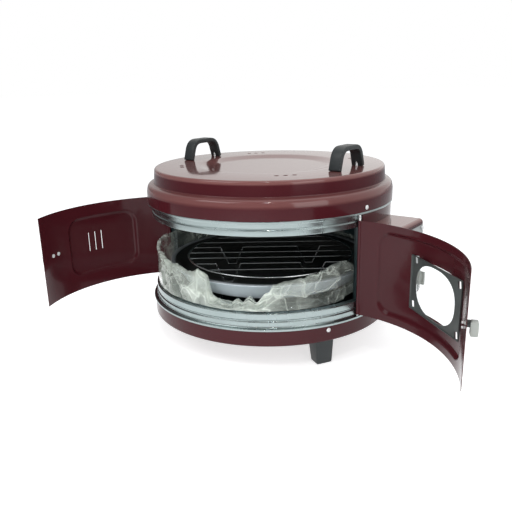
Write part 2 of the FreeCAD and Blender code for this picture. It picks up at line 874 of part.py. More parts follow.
def chord_reach(radius, half_width):
    """How far from the axis a flat plate of that half width meets a round wall."""
    return root(radius * radius - half_width * half_width)


def window_tool(radius, half_height):
    """A round opening with a flat top and bottom, cut straight through the door."""
    start = door_inner_radius - frame_fold * 3
    length = frame_fold * 6
    disc = radial_cylinder(radius, start, length, window_bearing, window_middle)
    slab = radial_block(
        start - 1, length + 2, radius * 3, window_middle - half_height, half_height * 2, window_bearing)
    return common(disc, slab)


def build_latch(bearing):
    """The turn button beside the right door's free edge, on its neck, pin and screws."""
    neck_seat = door_outer_radius + running_gap
    button_seat = neck_seat + latch_neck_length + running_gap
    neck = radial_cylinder(latch_neck_radius, neck_seat, latch_neck_length, bearing, latch_middle)
    neck_hole = radial_cylinder(
        latch_pin_radius + running_gap, neck_seat - tool_margin, latch_neck_length + tool_margin * 2, bearing,
        latch_middle)
    keep("latch_neck", swing(cut(neck, neck_hole), 1))
    button_foot = latch_middle - latch_button_length + latch_button_width / 2
    button = radial_block(
        button_seat, latch_button_depth, latch_button_width, button_foot, latch_button_length, bearing)
    soft = rounded(button, latch_button_width / 3, is_radial_edge)
    pin_start = door_inner_radius - sheet_wall
    pin = radial_cylinder(
        latch_pin_radius, pin_start, button_seat + tool_margin - pin_start, bearing, latch_middle)
    keep("latch_button", swing(fuse(soft, pin), 1))
    screws = []
    for end in (-1, 1):
        screws.append(radial_cylinder(
            screw_radius, door_inner_radius - screw_head_height - running_gap, screw_head_height,
            latch_screw_bearing, latch_middle - latch_screw_drop + latch_screw_pitch * end))
    keep("latch_screws", swing(group(*screws), 1))


def build_left_door():
    """The left leaf with its three slits and the latch keeper riveted outside."""
    leaf, bore = build_door_sheet(-1, left_panel_start, left_panel_end, left_panel_foot, left_panel_top)
    tools = [bore]
    for step in (-1, 0, 1):
        bearing = -(slit_bearing + slit_pitch * step)
        tools.append(radial_block(
            door_inner_radius - panel_depth, panel_depth * 4, slit_width, slit_middle - slit_length / 2,
            slit_length, bearing))
    rivets = []
    for bearing in (-rivet_near, -rivet_far):
        tools.append(radial_cylinder(
            rivet_radius + running_gap, door_inner_radius - sheet_wall, sheet_wall * 3, bearing, rivet_height))
        shank_start = door_inner_radius - running_gap
        shank = radial_cylinder(
            rivet_radius, shank_start, sheet_wall + running_gap * 2 + keeper_wall, bearing, rivet_height)
        inner_head = radial_cylinder(
            rivet_radius * 1.7, shank_start - sheet_wall, sheet_wall, bearing, rivet_height)
        rivets.append(fuse(shank, inner_head))
    keep("left_door", swing(cut(leaf, *tools), -1))
    keep("keeper_rivets", swing(group(*rivets), -1))
    keeper_seat = door_outer_radius + running_gap
    plate = curved_sheet(
        keeper_seat, keeper_seat + keeper_wall, keeper_foot, keeper_top, -keeper_end, -keeper_start)
    hook = curved_sheet(
        keeper_seat, keeper_seat + latch_neck_length, latch_middle - latch_button_width / 2,
        latch_middle + latch_button_width / 2, -(keeper_start + 2), -keeper_start)
    holes = []
    for bearing in (-rivet_near, -rivet_far):
        holes.append(radial_cylinder(
            rivet_radius + running_gap, door_inner_radius - sheet_wall, sheet_wall * 6, bearing, rivet_height))
    keep("latch_keeper", swing(cut(fuse(plate, hook), *holes), -1))


def build_control_box():
    """The box on the right with its faceplate, modules, knobs, lamp and cable gland."""
    width = box_back - box_front
    height = box_top - box_foot
    skin = sheet_wall
    start = drum_radius - box_sink
    outer = block(box_reach - start, width, height, start, box_front, box_foot)
    outer = rounded(outer, box_edge, edges_at_reach(box_reach))
    inner = block(
        box_reach - start, width - skin * 2, height - skin * 2, start - skin, box_front + skin, box_foot + skin)
    inner = rounded(inner, box_edge - skin, edges_at_reach(box_reach - skin))
    drum = cylinder(drum_radius + seat_gap, height * 2, 0, 0, box_foot - height / 2)
    face_seat = box_reach
    holes = []
    for z in (selector_height, thermostat_height):
        holes.append(cylinder_along_x(
            spindle_radius + running_gap, face_seat - module_depth, face_seat + face_wall * 2, knob_column, z))
    holes.append(cylinder_along_x(
        lamp_radius + running_gap, face_seat - skin * 2, face_seat + face_wall * 2, knob_column, lamp_height))
    gland_hole = cylinder_along_y(
        gland_radius - gland_wall, box_back - skin * 2, box_back + skin, gland_x(), gland_height)
    face = build_face_plate(face_seat, holes)
    keep("control_box", cut(outer, inner, drum, gland_hole, *(holes + face)))
    build_modules(face_seat)
    build_knobs(face_seat)


def gland_x():
    """The gland sits midway between the drum and the box's outer face."""
    return (drum_radius + box_reach) / 2


def edges_at_reach(reach):
    """The edges that touch the control box's outer face, round it and along its length."""
    limit = reach.value - 0.01
    return lambda edge: edge.BoundBox.XMax > limit


def cylinder_along_y(radius, start, end, x, z):
    part = doc.addObject("Part::Cylinder", "cylinder")
    bind(part, "Radius", radius)
    bind(part, "Height", sized(end) - start)
    return place(part, x, start, z, -90, (1, 0, 0))


def build_face_plate(face_seat, holes):
    """The grey faceplate and its four corner screws; gives back the screw holes."""
    front = box_front + face_margin
    foot = box_foot + face_margin
    width = box_back - face_margin - front
    height = box_top - face_margin - foot
    plate = block(face_wall, width, height, face_seat, front, foot)
    plate = rounded(plate, face_margin / 2, is_plate_corner)
    inset = screw_head_radius + face_screw_inset
    screw_holes = []
    screws = []
    for y in (front + inset, front + width - inset):
        for z in (foot + inset, foot + height - inset):
            screw_start = face_seat - sheet_wall * 3
            screw_holes.append(cylinder_along_x(
                screw_radius + running_gap, screw_start, face_seat + face_wall * 2, y, z))
            shank = cylinder_along_x(screw_radius, screw_start, face_seat + face_wall, y, z)
            screw_top = cylinder_along_x(
                screw_head_radius, face_seat + face_wall, face_seat + face_wall + screw_head_height, y, z)
            screws.append(fuse(shank, screw_top))
    keep("control_panel", cut(plate, *(holes + screw_holes)))
    keep("panel_screws", group(*screws))
    return screw_holes


def is_plate_corner(edge):
    """The short edges through the faceplate's thickness."""
    box = edge.BoundBox
    return box.XLength > 0.1 and box.YLength < 0.01 and box.ZLength < 0.01


def build_modules(face_seat):
    """What sits behind the faceplate: thermostat, selector switch, lamp, terminals and gland."""
    back = face_seat - sheet_wall
    for name, z in (("thermostat_body", thermostat_height), ("selector_switch", selector_height)):
        case = block(
            module_depth, module_width, module_height, back - module_depth, knob_column - module_width / 2,
            z - module_height / 2)
        well = cylinder_along_x(
            spindle_radius + running_gap, back - module_depth / 2, back + tool_margin, knob_column, z)
        if name == "selector_switch":
            keep(name, cut(case, well))
            continue
        socket = cylinder_along_x(
            probe_radius + running_gap, back - module_depth - tool_margin, back - module_depth + probe_seat,
            knob_column, z)
        keep(name, cut(case, well, socket))
    keep("thermostat_probe", cylinder_along_x(
        probe_radius, probe_reach, back - module_depth + probe_seat - seat_gap, knob_column, thermostat_height))
    lamp_stem = cylinder_along_x(
        lamp_radius, back - module_depth / 2, face_seat + face_wall, knob_column, lamp_height)
    lamp_cap = cylinder_along_x(
        lamp_cap_radius, face_seat + face_wall, face_seat + face_wall + lamp_cap_rise, knob_column, lamp_height)
    keep("indicator_lamp", fuse(lamp_stem, lamp_cap))
    floor = box_foot + sheet_wall
    terminal = block(
        module_depth / 2, module_width, module_height / 2, gland_x() - module_depth / 4,
        box_front + face_margin, floor)
    posts = []
    for step in (-1, 0, 1):
        y = box_front + face_margin + module_width / 2 + module_width / 4 * step
        posts.append(cylinder(screw_radius, screw_head_height, gland_x(), y, floor + module_height / 2))
    keep("terminal_block", fuse(terminal, *posts))
    flange = cylinder_along_y(gland_radius, box_back, box_back + gland_flange, gland_x(), gland_height)
    barrel_start = box_back - gland_inside
    barrel_end = box_back + gland_outside
    barrel = cylinder_along_y(
        gland_radius - gland_wall - running_gap, barrel_start, barrel_end, gland_x(), gland_height)
    cord_hole = cylinder_along_y(
        cord_hole_radius, barrel_start - tool_margin, barrel_end + tool_margin, gland_x(), gland_height)
    keep("cable_gland", cut(fuse(flange, barrel), cord_hole))


def build_knobs(face_seat):
    """Two knobs on their spindles."""
    back = face_seat - sheet_wall
    front = face_seat + face_wall
    for name, z in (("thermostat", thermostat_height), ("selector", selector_height)):
        spindle_end = front + spindle_reach
        keep(name + "_spindle", cylinder_along_x(
            spindle_radius, back - module_depth / 2 + seat_gap, spindle_end - seat_gap, knob_column, z))
        knob_start = front + knob_gap
        skirt = cylinder_along_x(knob_radius, knob_start, knob_start + knob_skirt, knob_column, z)
        grip_body = cylinder_along_x(
            knob_body_radius, knob_start, knob_start + knob_depth, knob_column, z)
        bar = block(
            knob_bar_depth, knob_bar_width, knob_bar_length, knob_start + knob_depth - knob_bar_sink,
            knob_column - knob_bar_width / 2, z - knob_bar_length / 2)
        socket = cylinder_along_x(
            spindle_radius + running_gap, knob_start - tool_margin, spindle_end, knob_column, z)
        keep(name + "_knob", cut(fuse(skirt, grip_body, bar), socket))


def build_chamber():
    """The pans above and below, the heating rings, their supports and the tray stand."""
    inner = pan_radius - sheet_wall
    floor_pan = turned("floor_pan_sheet", [
        (0, chamber_floor),
        (pan_radius, chamber_floor),
        (pan_radius, sill - trim_wall),
        (inner, sill - trim_wall),
        (inner, chamber_floor + sheet_wall),
        (0, chamber_floor + sheet_wall),
    ])
    reflector = turned("upper_reflector_sheet", [
        (0, chamber_roof),
        (pan_radius, chamber_roof),
        (pan_radius, head + trim_wall),
        (inner, head + trim_wall),
        (inner, chamber_roof - sheet_wall),
        (0, chamber_roof - sheet_wall),
    ])
    lower_ends = chamber_floor - lower_element_tail
    upper_ends = chamber_roof + upper_element_tail
    floor_holes = element_holes(chamber_floor - sheet_wall, sheet_wall * 3)
    roof_holes = element_holes(chamber_roof - sheet_wall * 2, sheet_wall * 3)
    keep("floor_pan", cut(floor_pan, *floor_holes))
    keep("upper_reflector", cut(reflector, *roof_holes))
    shaped("lower_heating_element", element_shape(lower_element_height, lower_ends))
    shaped("upper_heating_element", element_shape(upper_element_height, upper_ends))
    posts = []
    clips = []
    for bearing in (-30, 180, -150):
        tall = lower_element_height - chamber_floor - sheet_wall
        posts.append(element_support(chamber_floor + sheet_wall, tall, bearing, lower_element_height))
        tall = chamber_roof - sheet_wall - upper_element_height + element_wire * 2
        clips.append(element_support(
            upper_element_height - element_wire * 2, tall, bearing, upper_element_height))
    keep("lower_element_posts", group(*posts))
    keep("upper_element_clips", group(*clips))
    legs = [ring(stand_wire, stand_radius, stand_top - stand_wire)]
    for bearing in (0, 120, 240):
        x, y = spot(stand_radius, bearing)
        legs.append(cylinder(
            stand_wire, stand_top - stand_wire - chamber_floor - sheet_wall, x, y, chamber_floor + sheet_wall))
    keep("tray_stand", fuse(*legs))


def element_ends():
    """The two places where a heating ring turns out through its pan, beside the control box."""
    half = element_gap / element_radius * (180 / math.pi) / 2
    return (90 - half, 90 + half)


def element_holes(foot, height):
    holes = []
    for bearing in element_ends():
        x, y = spot(element_radius, bearing)
        holes.append(cylinder(element_wire + seat_gap, height, x, y, foot))
    return holes


def element_shape(level, end_level):
    """A sheathed heating ring, open on the right, with both ends turned through the pan."""
    radius = element_radius.value
    wire = element_wire.value
    level = level.value
    first, last = [math.radians(bearing.value - 90) for bearing in element_ends()]
    axis = FreeCAD.Vector(0, 0, 1)
    torus = Part.makeTorus(
        radius, wire, FreeCAD.Vector(0, 0, level), axis, -180, 180, 360 - math.degrees(last - first))
    torus.rotate(FreeCAD.Vector(0, 0, 0), axis, math.degrees(last))
    shape = torus
    for angle in (first, last):
        corner = FreeCAD.Vector(radius * math.cos(angle), radius * math.sin(angle), level)
        rise = FreeCAD.Vector(0, 0, end_level.value - level)
        shape = shape.fuse(Part.makeSphere(wire + elbow_bulge.value, corner))
        shape = shape.fuse(Part.makeCylinder(wire, rise.Length, corner, rise))
    return shape


def element_support(foot, height, bearing, level):
    """A bent strip with a hole that the heating ring passes through."""
    strip = radial_block(
        element_radius - support_width / 2, support_width, element_wire, foot, height, bearing)
    return cut(strip, ring(element_wire + seat_gap, element_radius, level))


def build_tray():
    """The pressed tray, the film round its rim and the wire rack that stands in it."""
    foot = stand_top + seat_gap
    top = foot + tray_depth
    wall = sheet_wall
    keep("baking_tray", turned("baking_tray_sheet", [
        (0, foot),
        (tray_floor_radius, foot),
        (tray_rim_radius, top - wall),
        (tray_rim_radius + tray_lip, top - wall),
        (tray_rim_radius + tray_lip, top),
        (tray_rim_radius - wall, top),
        (tray_floor_radius - wall, foot + wall),
        (0, foot + wall),
    ]))
    gap = seat_gap
    lip_end = tray_rim_radius + tray_lip
    hang = top - film_hang
    inside = tray_rim_radius - wall - gap
    slope = (tray_rim_radius - tray_floor_radius) / (tray_depth - wall)
    drop = film_tuck
    keep("tray_film", turned("tray_film_sheet", [
        (inside - slope * drop, top - drop),
        (inside, top + gap),
        (lip_end + gap, top + gap),
        (lip_end + film_spread, hang),
        (lip_end + film_spread + film_wall, hang),
        (lip_end + gap + film_wall, top + gap + film_wall),
        (inside - film_wall, top + gap + film_wall),
        (inside - film_wall - slope * drop, top - drop),
    ]))
    shaped("wire_rack", rack_shape(foot + wall + gap))


def rack_shape(foot):
    """A ring crossed by seven wires, two of which dip to make four legs."""
    wire = rack_wire.value
    radius = rack_radius.value
    low = foot.value + wire + elbow_bulge.value
    level = low + rack_height.value - 2 * wire
    turn = math.radians(rack_turn.value)
    along = FreeCAD.Vector(math.cos(turn), math.sin(turn), 0)
    across = FreeCAD.Vector(-math.sin(turn), math.cos(turn), 0)

    def point(run, offset, z):
        return along * run + across * offset + FreeCAD.Vector(0, 0, z)

    rim_wire = rack_rim_wire.value
    shape = Part.makeTorus(radius, rim_wire, FreeCAD.Vector(0, 0, level), FreeCAD.Vector(0, 0, 1))
    half_top = rack_leg_top.value / 2
    half_foot = rack_leg_foot.value / 2
    place_leg = rack_leg_place.value
    for step in range(-3, 4):
        offset = step * rack_pitch.value
        reach = math.sqrt(radius ** 2 - offset ** 2)
        points = [point(-reach, offset, level)]
        if step in (1, -2):
            for middle in (-place_leg, place_leg):
                points.append(point(middle - half_top, offset, level))
                points.append(point(middle - half_foot, offset, low))
                points.append(point(middle + half_foot, offset, low))
                points.append(point(middle + half_top, offset, level))
        points.append(point(reach, offset, level))
        shape = shape.fuse(rod_chain(points, wire))
    return shape


def check_document():
    """Stop if anything failed to build."""
    doc.recompute()
    faults = []
    for part in doc.Objects:
        if "Invalid" in part.State or "Error" in part.State:
            faults.append("%s is %s" % (part.Name, part.State))
    for name, part in nodes.items():
        if part.Shape.isNull() or not part.Shape.isValid() or not part.Shape.Solids:
            faults.append("%s has no valid solid" % name)
    if faults:
        raise RuntimeError("; ".join(faults))


def write_parts():
    os.makedirs("parts", exist_ok=True)
    for name, part in nodes.items():
        part.Shape.exportStep("parts/%s.step" % name)
        print(name, len(part.Shape.Solids), round(part.Shape.Volume, 1))


doc.recompute()
build_base()
build_trims()
build_hinge_rods()
build_shells()
build_lid()
build_lid_handles()
build_right_door()
build_left_door()
build_control_box()
build_chamber()
build_tray()
check_document()
write_parts()
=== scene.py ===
import math

import bpy
from mathutils import Matrix, Vector, noise


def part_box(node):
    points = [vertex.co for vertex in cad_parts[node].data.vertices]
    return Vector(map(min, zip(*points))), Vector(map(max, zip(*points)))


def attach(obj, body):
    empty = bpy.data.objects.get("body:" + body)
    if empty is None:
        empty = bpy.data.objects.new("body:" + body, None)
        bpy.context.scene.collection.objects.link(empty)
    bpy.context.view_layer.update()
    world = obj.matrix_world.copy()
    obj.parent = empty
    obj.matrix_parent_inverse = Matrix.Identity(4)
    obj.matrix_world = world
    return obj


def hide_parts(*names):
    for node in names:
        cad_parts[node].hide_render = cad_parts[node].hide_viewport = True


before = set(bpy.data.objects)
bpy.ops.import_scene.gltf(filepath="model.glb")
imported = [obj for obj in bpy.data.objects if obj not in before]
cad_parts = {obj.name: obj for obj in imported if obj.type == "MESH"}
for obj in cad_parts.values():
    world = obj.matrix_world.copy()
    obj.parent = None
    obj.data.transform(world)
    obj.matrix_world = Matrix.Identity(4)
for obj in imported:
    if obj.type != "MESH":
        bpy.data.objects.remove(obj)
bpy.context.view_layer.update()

bpy.context.scene.view_settings.view_transform = "Standard"
MM = 0.001


def node_span(node):
    """A CAD node's lowest and highest corner as vectors."""
    low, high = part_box(node)
    return Vector(low), Vector(high)


# Heights and radii of the main seams, read from the frame
lid_low, lid_high = node_span("lid")
RIM_RADIUS = lid_high.x
RIM_FOOT = lid_low.z
LID_TOP = lid_high.z
base_low, base_high = node_span("base_pan")
DRUM_RADIUS = base_high.x
BAND_FOOT = base_low.z
BAND_TOP = base_high.z
shell_low, shell_high = node_span("rear_shell")
SHELL_FOOT = shell_low.z
SHELL_TOP = shell_high.z
liner_low, liner_high = node_span("inner_liner")
SILL = liner_low.z
HEAD = liner_high.z
tray_low, tray_high = node_span("baking_tray")
rod_low, rod_high = node_span("right_hinge_rod")
HINGE = Vector(((rod_low.x + rod_high.x) / 2, (rod_low.y + rod_high.y) / 2, 0))
HINGE_RADIUS = HINGE.length
HINGE_BEARING = math.atan2(HINGE.x, -HINGE.y)
SHEET = 1.0 * MM
# Points nearer than this are one point
MERGE = 0.001 * MM

# How far each door stands open in the photograph
RIGHT_OPEN = math.radians(107)
LEFT_OPEN = math.radians(61)


# Working with Blender's own tools

def deselect():
    bpy.ops.object.select_all(action="DESELECT")


def switch_mode(mode):
    bpy.ops.object.mode_set(mode=mode)


def select_mesh():
    bpy.ops.mesh.select_all(action="SELECT")


def make_active(piece):
    deselect()
    piece.select_set(True)
    bpy.context.view_layer.objects.active = piece


def apply_place():
    bpy.ops.object.transform_apply(location=True, rotation=True, scale=True)


def settle(piece, smooth_angle=35):
    """Put the piece's place into its mesh and shade it."""
    make_active(piece)
    apply_place()
    bpy.ops.object.shade_smooth_by_angle(angle=math.radians(smooth_angle))
    return piece


def apply_modifiers(piece):
    make_active(piece)
    for modifier in list(piece.modifiers):
        bpy.ops.object.modifier_apply(modifier=modifier.name)


def finish_piece(piece, body, slot, material, *nodes):
    """Dress a piece, hang it on its body and let it stand for CAD nodes."""
    piece.data.materials.clear()
    piece.data.materials.append(material)
    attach(piece, body)
    if nodes:
        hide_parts(*nodes)


def face_outwards(piece, merge=0.0):
    """Recalculate a piece's normals, after merging its doubles where a distance is given."""
    make_active(piece)
    switch_mode("EDIT")
    select_mesh()
    if merge:
        bpy.ops.mesh.remove_doubles(threshold=merge)
    bpy.ops.mesh.normals_make_consistent(inside=False)
    switch_mode("OBJECT")


def box_at(size, location=(0, 0, 0), rotation=(0, 0, 0)):
    """A box at its place, as a start or a cutter."""
    deselect()
    bpy.ops.mesh.primitive_cube_add(size=1, location=location, rotation=rotation)
    box = bpy.context.object
    box.scale = size
    apply_place()
    return box


def rod_at(radius, depth, sides, location=(0, 0, 0), rotation=(0, 0, 0)):
    """A round rod at its place, as a start or a cutter."""
    deselect()
    bpy.ops.mesh.primitive_cylinder_add(
        vertices=sides, radius=radius, depth=depth, location=location, rotation=rotation)
    rod = bpy.context.object
    apply_place()
    return rod


def thicken(piece, wall, offset, even=False):
    """Give a sheet its wall."""
    skin = piece.modifiers.new("sheet", "SOLIDIFY")
    skin.thickness = wall
    skin.offset = offset
    skin.use_even_offset = even


def soften(piece, width, segments=4, angle=None):
    """Round a piece's edges; an angle in degrees picks the sharper ones."""
    edge = piece.modifiers.new("edge", "BEVEL")
    edge.width = width
    edge.segments = segments
    if angle:
        edge.limit_method = "ANGLE"
        edge.angle_limit = math.radians(angle)


def eased(corners, steps=6):
    """Points of an outline whose corners (across, up, ease) turn in a smooth curve."""
    places = [Vector((across, 0, up)) for across, up, ease in corners]
    points = []
    for index, (across, up, ease) in enumerate(corners):
        here = places[index]
        if ease == 0 or index in (0, len(corners) - 1):
            points.append(here)
            continue
        back = places[index - 1] - here
        ahead = places[index + 1] - here
        start = here + back.normalized() * min(ease, back.length * 0.49)
        end = here + ahead.normalized() * min(ease, ahead.length * 0.49)
        for step in range(steps + 1):
            t = step / steps
            points.append(start * (1 - t) ** 2 + here * 2 * t * (1 - t) + end * t ** 2)
    return points


def draw_line(name, points):
    """Draw a run of edges by extruding one point after another."""
    deselect()
    bpy.ops.mesh.primitive_plane_add(size=MM, location=points[0])
    piece = bpy.context.object
    piece.name = name
    switch_mode("EDIT")
    bpy.ops.mesh.select_mode(type="VERT")
    select_mesh()
    bpy.ops.mesh.merge(type="CENTER")
    for first, last in zip(points, points[1:]):
        bpy.ops.mesh.extrude_region_move(TRANSFORM_OT_translate={"value": last - first})
    return piece


def spun(name, corners, steps=192, start=0.0, sweep=2 * math.pi):
    """A sheet-metal ring or pan: a closed outline of radius and height turned about the drum's axis."""
    points = eased(list(corners) + [corners[0]])
    turn = Matrix.Rotation(start - math.pi / 2, 3, "Z")
    piece = draw_line(name, [turn @ point for point in points])
    select_mesh()
    bpy.ops.mesh.remove_doubles(threshold=MERGE)
    select_mesh()
    if sweep < 2 * math.pi:
        bpy.ops.mesh.edge_face_add()
        select_mesh()
    bpy.ops.mesh.spin(steps=steps, angle=sweep, center=(0, 0, 0), axis=(0, 0, -1))
    switch_mode("OBJECT")
    face_outwards(piece, MERGE)
    return settle(piece)


def cut_away(piece, cutter):
    """Take a cutter out of a piece."""
    make_active(piece)
    modifier = piece.modifiers.new("opening", "BOOLEAN")
    modifier.operation = "DIFFERENCE"
    modifier.solver = "EXACT"
    modifier.object = cutter
    bpy.ops.object.modifier_apply(modifier=modifier.name)
    bpy.data.objects.remove(cutter, do_unlink=True)


def drum_point(radius, bearing, height):
    """A point at a radius and a bearing from the front."""
    return Vector((radius * math.sin(bearing), -radius * math.cos(bearing), height))


def join_pieces(name, pieces):
    deselect()
    for piece in pieces:
        piece.select_set(True)
    bpy.context.view_layer.objects.active = pieces[0]
    if len(pieces) > 1:
        bpy.ops.object.join()
    piece = bpy.context.object
    piece.name = name
    return piece


# Materials

def new_material(name):
    """A material with its nodes, its links and its main shader."""
    material = bpy.data.materials.new(name)
    material.use_nodes = True
    nodes = material.node_tree.nodes
    return material, nodes, material.node_tree.links, nodes["Principled BSDF"]


def set_sockets(node, sockets):
    for socket, value in sockets.items():
        node.inputs[socket].default_value = value


def add_node(nodes, kind, sockets=None, **settings):
    """Add a shader node, change its settings, then set its sockets by name or number."""
    node = nodes.new("ShaderNode" + kind)
    for setting, value in settings.items():
        setattr(node, setting, value)
    set_sockets(node, sockets or {})
    return node


def connect(links, *rows):
    """Link nodes; each row is a node, its output, the next node and its input."""
    for source, output, target, entry in rows:
        links.new(source.outputs[output], target.inputs[entry])


def make_surface_group():
    """Uneven gloss and tint, with a fine bump: the life of a real painted or moulded surface."""
    group = bpy.data.node_groups.new("uneven_surface", "ShaderNodeTree")
    for side, kind, labels in (
            ("INPUT", "Color", ("Colour", "Second Colour")),
            ("INPUT", "Vector", ("Stretch",)),
            ("INPUT", "Float", ("Patch Scale", "Grain Scale", "Grain Depth")),
            ("INPUT", "Float", ("Roughness", "Roughness Spread")),
            ("OUTPUT", "Color", ("Colour",)),
            ("OUTPUT", "Float", ("Roughness",)),
            ("OUTPUT", "Vector", ("Normal",))):
        for label in labels:
            group.interface.new_socket(label, in_out=side, socket_type="NodeSocket" + kind)
    nodes = group.nodes
    entry = nodes.new("NodeGroupInput")
    leave = nodes.new("NodeGroupOutput")
    place = add_node(nodes, "TexCoord")
    stretch = add_node(nodes, "VectorMath", operation="MULTIPLY")
    patches = add_node(nodes, "TexNoise", {"Detail": 4})
    grain = add_node(nodes, "TexNoise", {"Detail": 2})
    tint = add_node(nodes, "Mix", data_type="RGBA")
    centred = add_node(nodes, "Math", {1: 0.5}, operation="SUBTRACT")
    spread = add_node(nodes, "Math", operation="MULTIPLY_ADD")
    bump = add_node(nodes, "Bump", {"Distance": 0.0004})
    connect(
        group.links,
        (place, "Object", stretch, 0),
        (entry, "Stretch", stretch, 1),
        (stretch, "Vector", patches, "Vector"),
        (stretch, "Vector", grain, "Vector"),
        (entry, "Patch Scale", patches, "Scale"),
        (entry, "Grain Scale", grain, "Scale"),
        (patches, "Fac", tint, "Factor"),
        (entry, "Colour", tint, "A"),
        (entry, "Second Colour", tint, "B"),
        (patches, "Fac", centred, 0),
        (centred, 0, spread, 0),
        (entry, "Roughness Spread", spread, 1),
        (entry, "Roughness", spread, 2),
        (grain, "Fac", bump, "Height"),
        (entry, "Grain Depth", bump, "Strength"),
        (tint, "Result", leave, "Colour"),
        (spread, 0, leave, "Roughness"),
        (bump, "Normal", leave, "Normal"))
    return group


surface_group = make_surface_group()


def height_weight(nodes, links, steps):
    """A weight that changes with height: a list of heights and weights from low to high."""
    low, high = steps[0][0], steps[-1][0]
    place = add_node(nodes, "TexCoord")
    split = add_node(nodes, "SeparateXYZ")
    share = add_node(nodes, "MapRange", {"From Min": low, "From Max": high})
    ramp = add_node(nodes, "ValToRGB")
    stops = ramp.color_ramp.elements
    while len(stops) < len(steps):
        stops.new(1.0)
    for stop, (height, weight) in zip(stops, steps):
        stop.position = (height - low) / (high - low)
        stop.color = (weight, weight, weight, 1)
    connect(
        links,
        (place, "Object", split, "Vector"),
        (split, "Z", share, "Value"),
        (share, "Result", ramp, "Fac"))
    return ramp


def surface_material(
        name, colour, second, roughness, spread, patch, grain, depth, metallic=0.0, coat=0.0,
        coat_roughness=0.05, ior=1.5, stretch=(1, 1, 1), coat_steps=None, haze=None):
    """A material that reads its colour, gloss and bump from the uneven surface group."""
    material, nodes, links, shader = new_material(name)
    surface = add_node(nodes, "Group", {
        "Colour": (*colour, 1), "Second Colour": (*second, 1), "Stretch": stretch, "Patch Scale": patch,
        "Grain Scale": grain, "Roughness": roughness, "Roughness Spread": spread, "Grain Depth": depth,
    }, node_tree=surface_group)
    set_sockets(shader, {
        "Metallic": metallic, "Coat Weight": coat, "Coat Roughness": coat_roughness, "IOR": ior})
    connect(
        links,
        (surface, "Colour", shader, "Base Color"),
        (surface, "Roughness", shader, "Roughness"),
        (surface, "Normal", shader, "Normal"))
    # Where heights are given, the mask raises the coat and also blends the colour towards a pale rose: a
    # painted sheen that stands for reflection on the upward-facing bands.
    if coat_steps:
        weight = height_weight(nodes, links, coat_steps)
        painted_sheen = add_node(nodes, "Mix", data_type="RGBA")
        painted_sheen.inputs["B"].default_value = (*haze, 1)
        connect(
            links,
            (weight, "Color", shader, "Coat Weight"),
            (weight, "Color", painted_sheen, "Factor"),
            (surface, "Colour", painted_sheen, "A"),
            (painted_sheen, "Result", shader, "Base Color"))
    return material


BURGUNDY = (0.056, 0.0085, 0.012)
PLUM = (0.07, 0.011, 0.0155)
# The pale rose painted into upward-facing enamel: a painted reflection, lighter than the enamel itself.
PAINTED_ROSE_SHEEN = (0.27, 0.115, 0.105)
SHOULDER = RIM_FOOT + 20 * MM
TIER_FOOT = RIM_FOOT + 35 * MM
CONTROL_TOP = node_span("control_box")[1].z
ENAMEL = dict(
    colour=BURGUNDY, second=PLUM, roughness=0.15, spread=0.08, patch=9, grain=230, depth=0.03, ior=1.27)
enamel = surface_material("burgundy_enamel", **ENAMEL, coat=0.12, coat_roughness=0.03)
# The lid's shoulder and top and the control box's top get a stronger coat and a painted rose sheen, by
# height.
lid_enamel = surface_material("lid_enamel", **ENAMEL, haze=PAINTED_ROSE_SHEEN, coat_steps=[
    (SHOULDER - 2 * MM, 0), (SHOULDER + 4 * MM, 0.45), (TIER_FOOT - 2 * MM, 0.45), (TIER_FOOT + 2 * MM, 0),
    (LID_TOP - 8 * MM, 0), (LID_TOP - 5 * MM, 0.6)])
box_enamel = surface_material("box_enamel", **ENAMEL, haze=PAINTED_ROSE_SHEEN, coat_steps=[
    (CONTROL_TOP - 6 * MM, 0), (CONTROL_TOP - 1 * MM, 0.75)])
trim_metal = surface_material(
    "rolled_aluminium", (0.25, 0.3, 0.3), (0.43, 0.5, 0.5), 0.26, 0.16, patch=14, grain=420, depth=0.06,
    metallic=1.0, stretch=(1, 1, 0.15))
black_moulding = surface_material(
    "black_bakelite", (0.014, 0.018, 0.019), (0.025, 0.031, 0.033), 0.42, 0.2, patch=40, grain=900,
    depth=0.25)
dark_enamel = surface_material(
    "dark_liner_enamel", (0.012, 0.024, 0.026), (0.018, 0.03, 0.032), 0.3, 0.15, patch=15, grain=300,
    depth=0.1)
zinc = surface_material(
    "zinc_plate", (0.88, 0.88, 0.87), (0.76, 0.77, 0.78), 0.45, 0.15, patch=80, grain=900, depth=0.1,
    metallic=0.2)
sheath = surface_material(
    "heated_sheath", (0.1, 0.1, 0.105), (0.17, 0.14, 0.11), 0.45, 0.2, patch=30, grain=500, depth=0.2,
    metallic=1.0)
chrome = surface_material(
    "plated_wire", (0.82, 0.86, 0.86), (0.66, 0.7, 0.7), 0.2, 0.08, patch=60, grain=700, depth=0.05,
    metallic=1.0)
tray_metal = surface_material(
    "pressed_aluminium", (0.8, 0.88, 0.94), (0.68, 0.76, 0.82), 0.42, 0.12, patch=18, grain=500, depth=0.12,
    metallic=0.35)
frame_metal = surface_material(
    "dark_frame_steel", (0.075, 0.085, 0.083), (0.12, 0.13, 0.125), 0.34, 0.16, patch=35, grain=600,
    depth=0.12, metallic=0.5)
grey_plastic = surface_material(
    "light_grey_moulding", (0.42, 0.44, 0.41), (0.36, 0.38, 0.36), 0.4, 0.15, patch=50, grain=800,
    depth=0.15)
panel_grey = surface_material(
    "satin_faceplate", (0.34, 0.36, 0.36), (0.3, 0.32, 0.32), 0.32, 0.1, patch=25, grain=900, depth=0.1,
    metallic=0.5)
ceramic = surface_material(
    "unglazed_ceramic", (0.62, 0.57, 0.48), (0.55, 0.5, 0.42), 0.7, 0.1, patch=60, grain=700, depth=0.4)
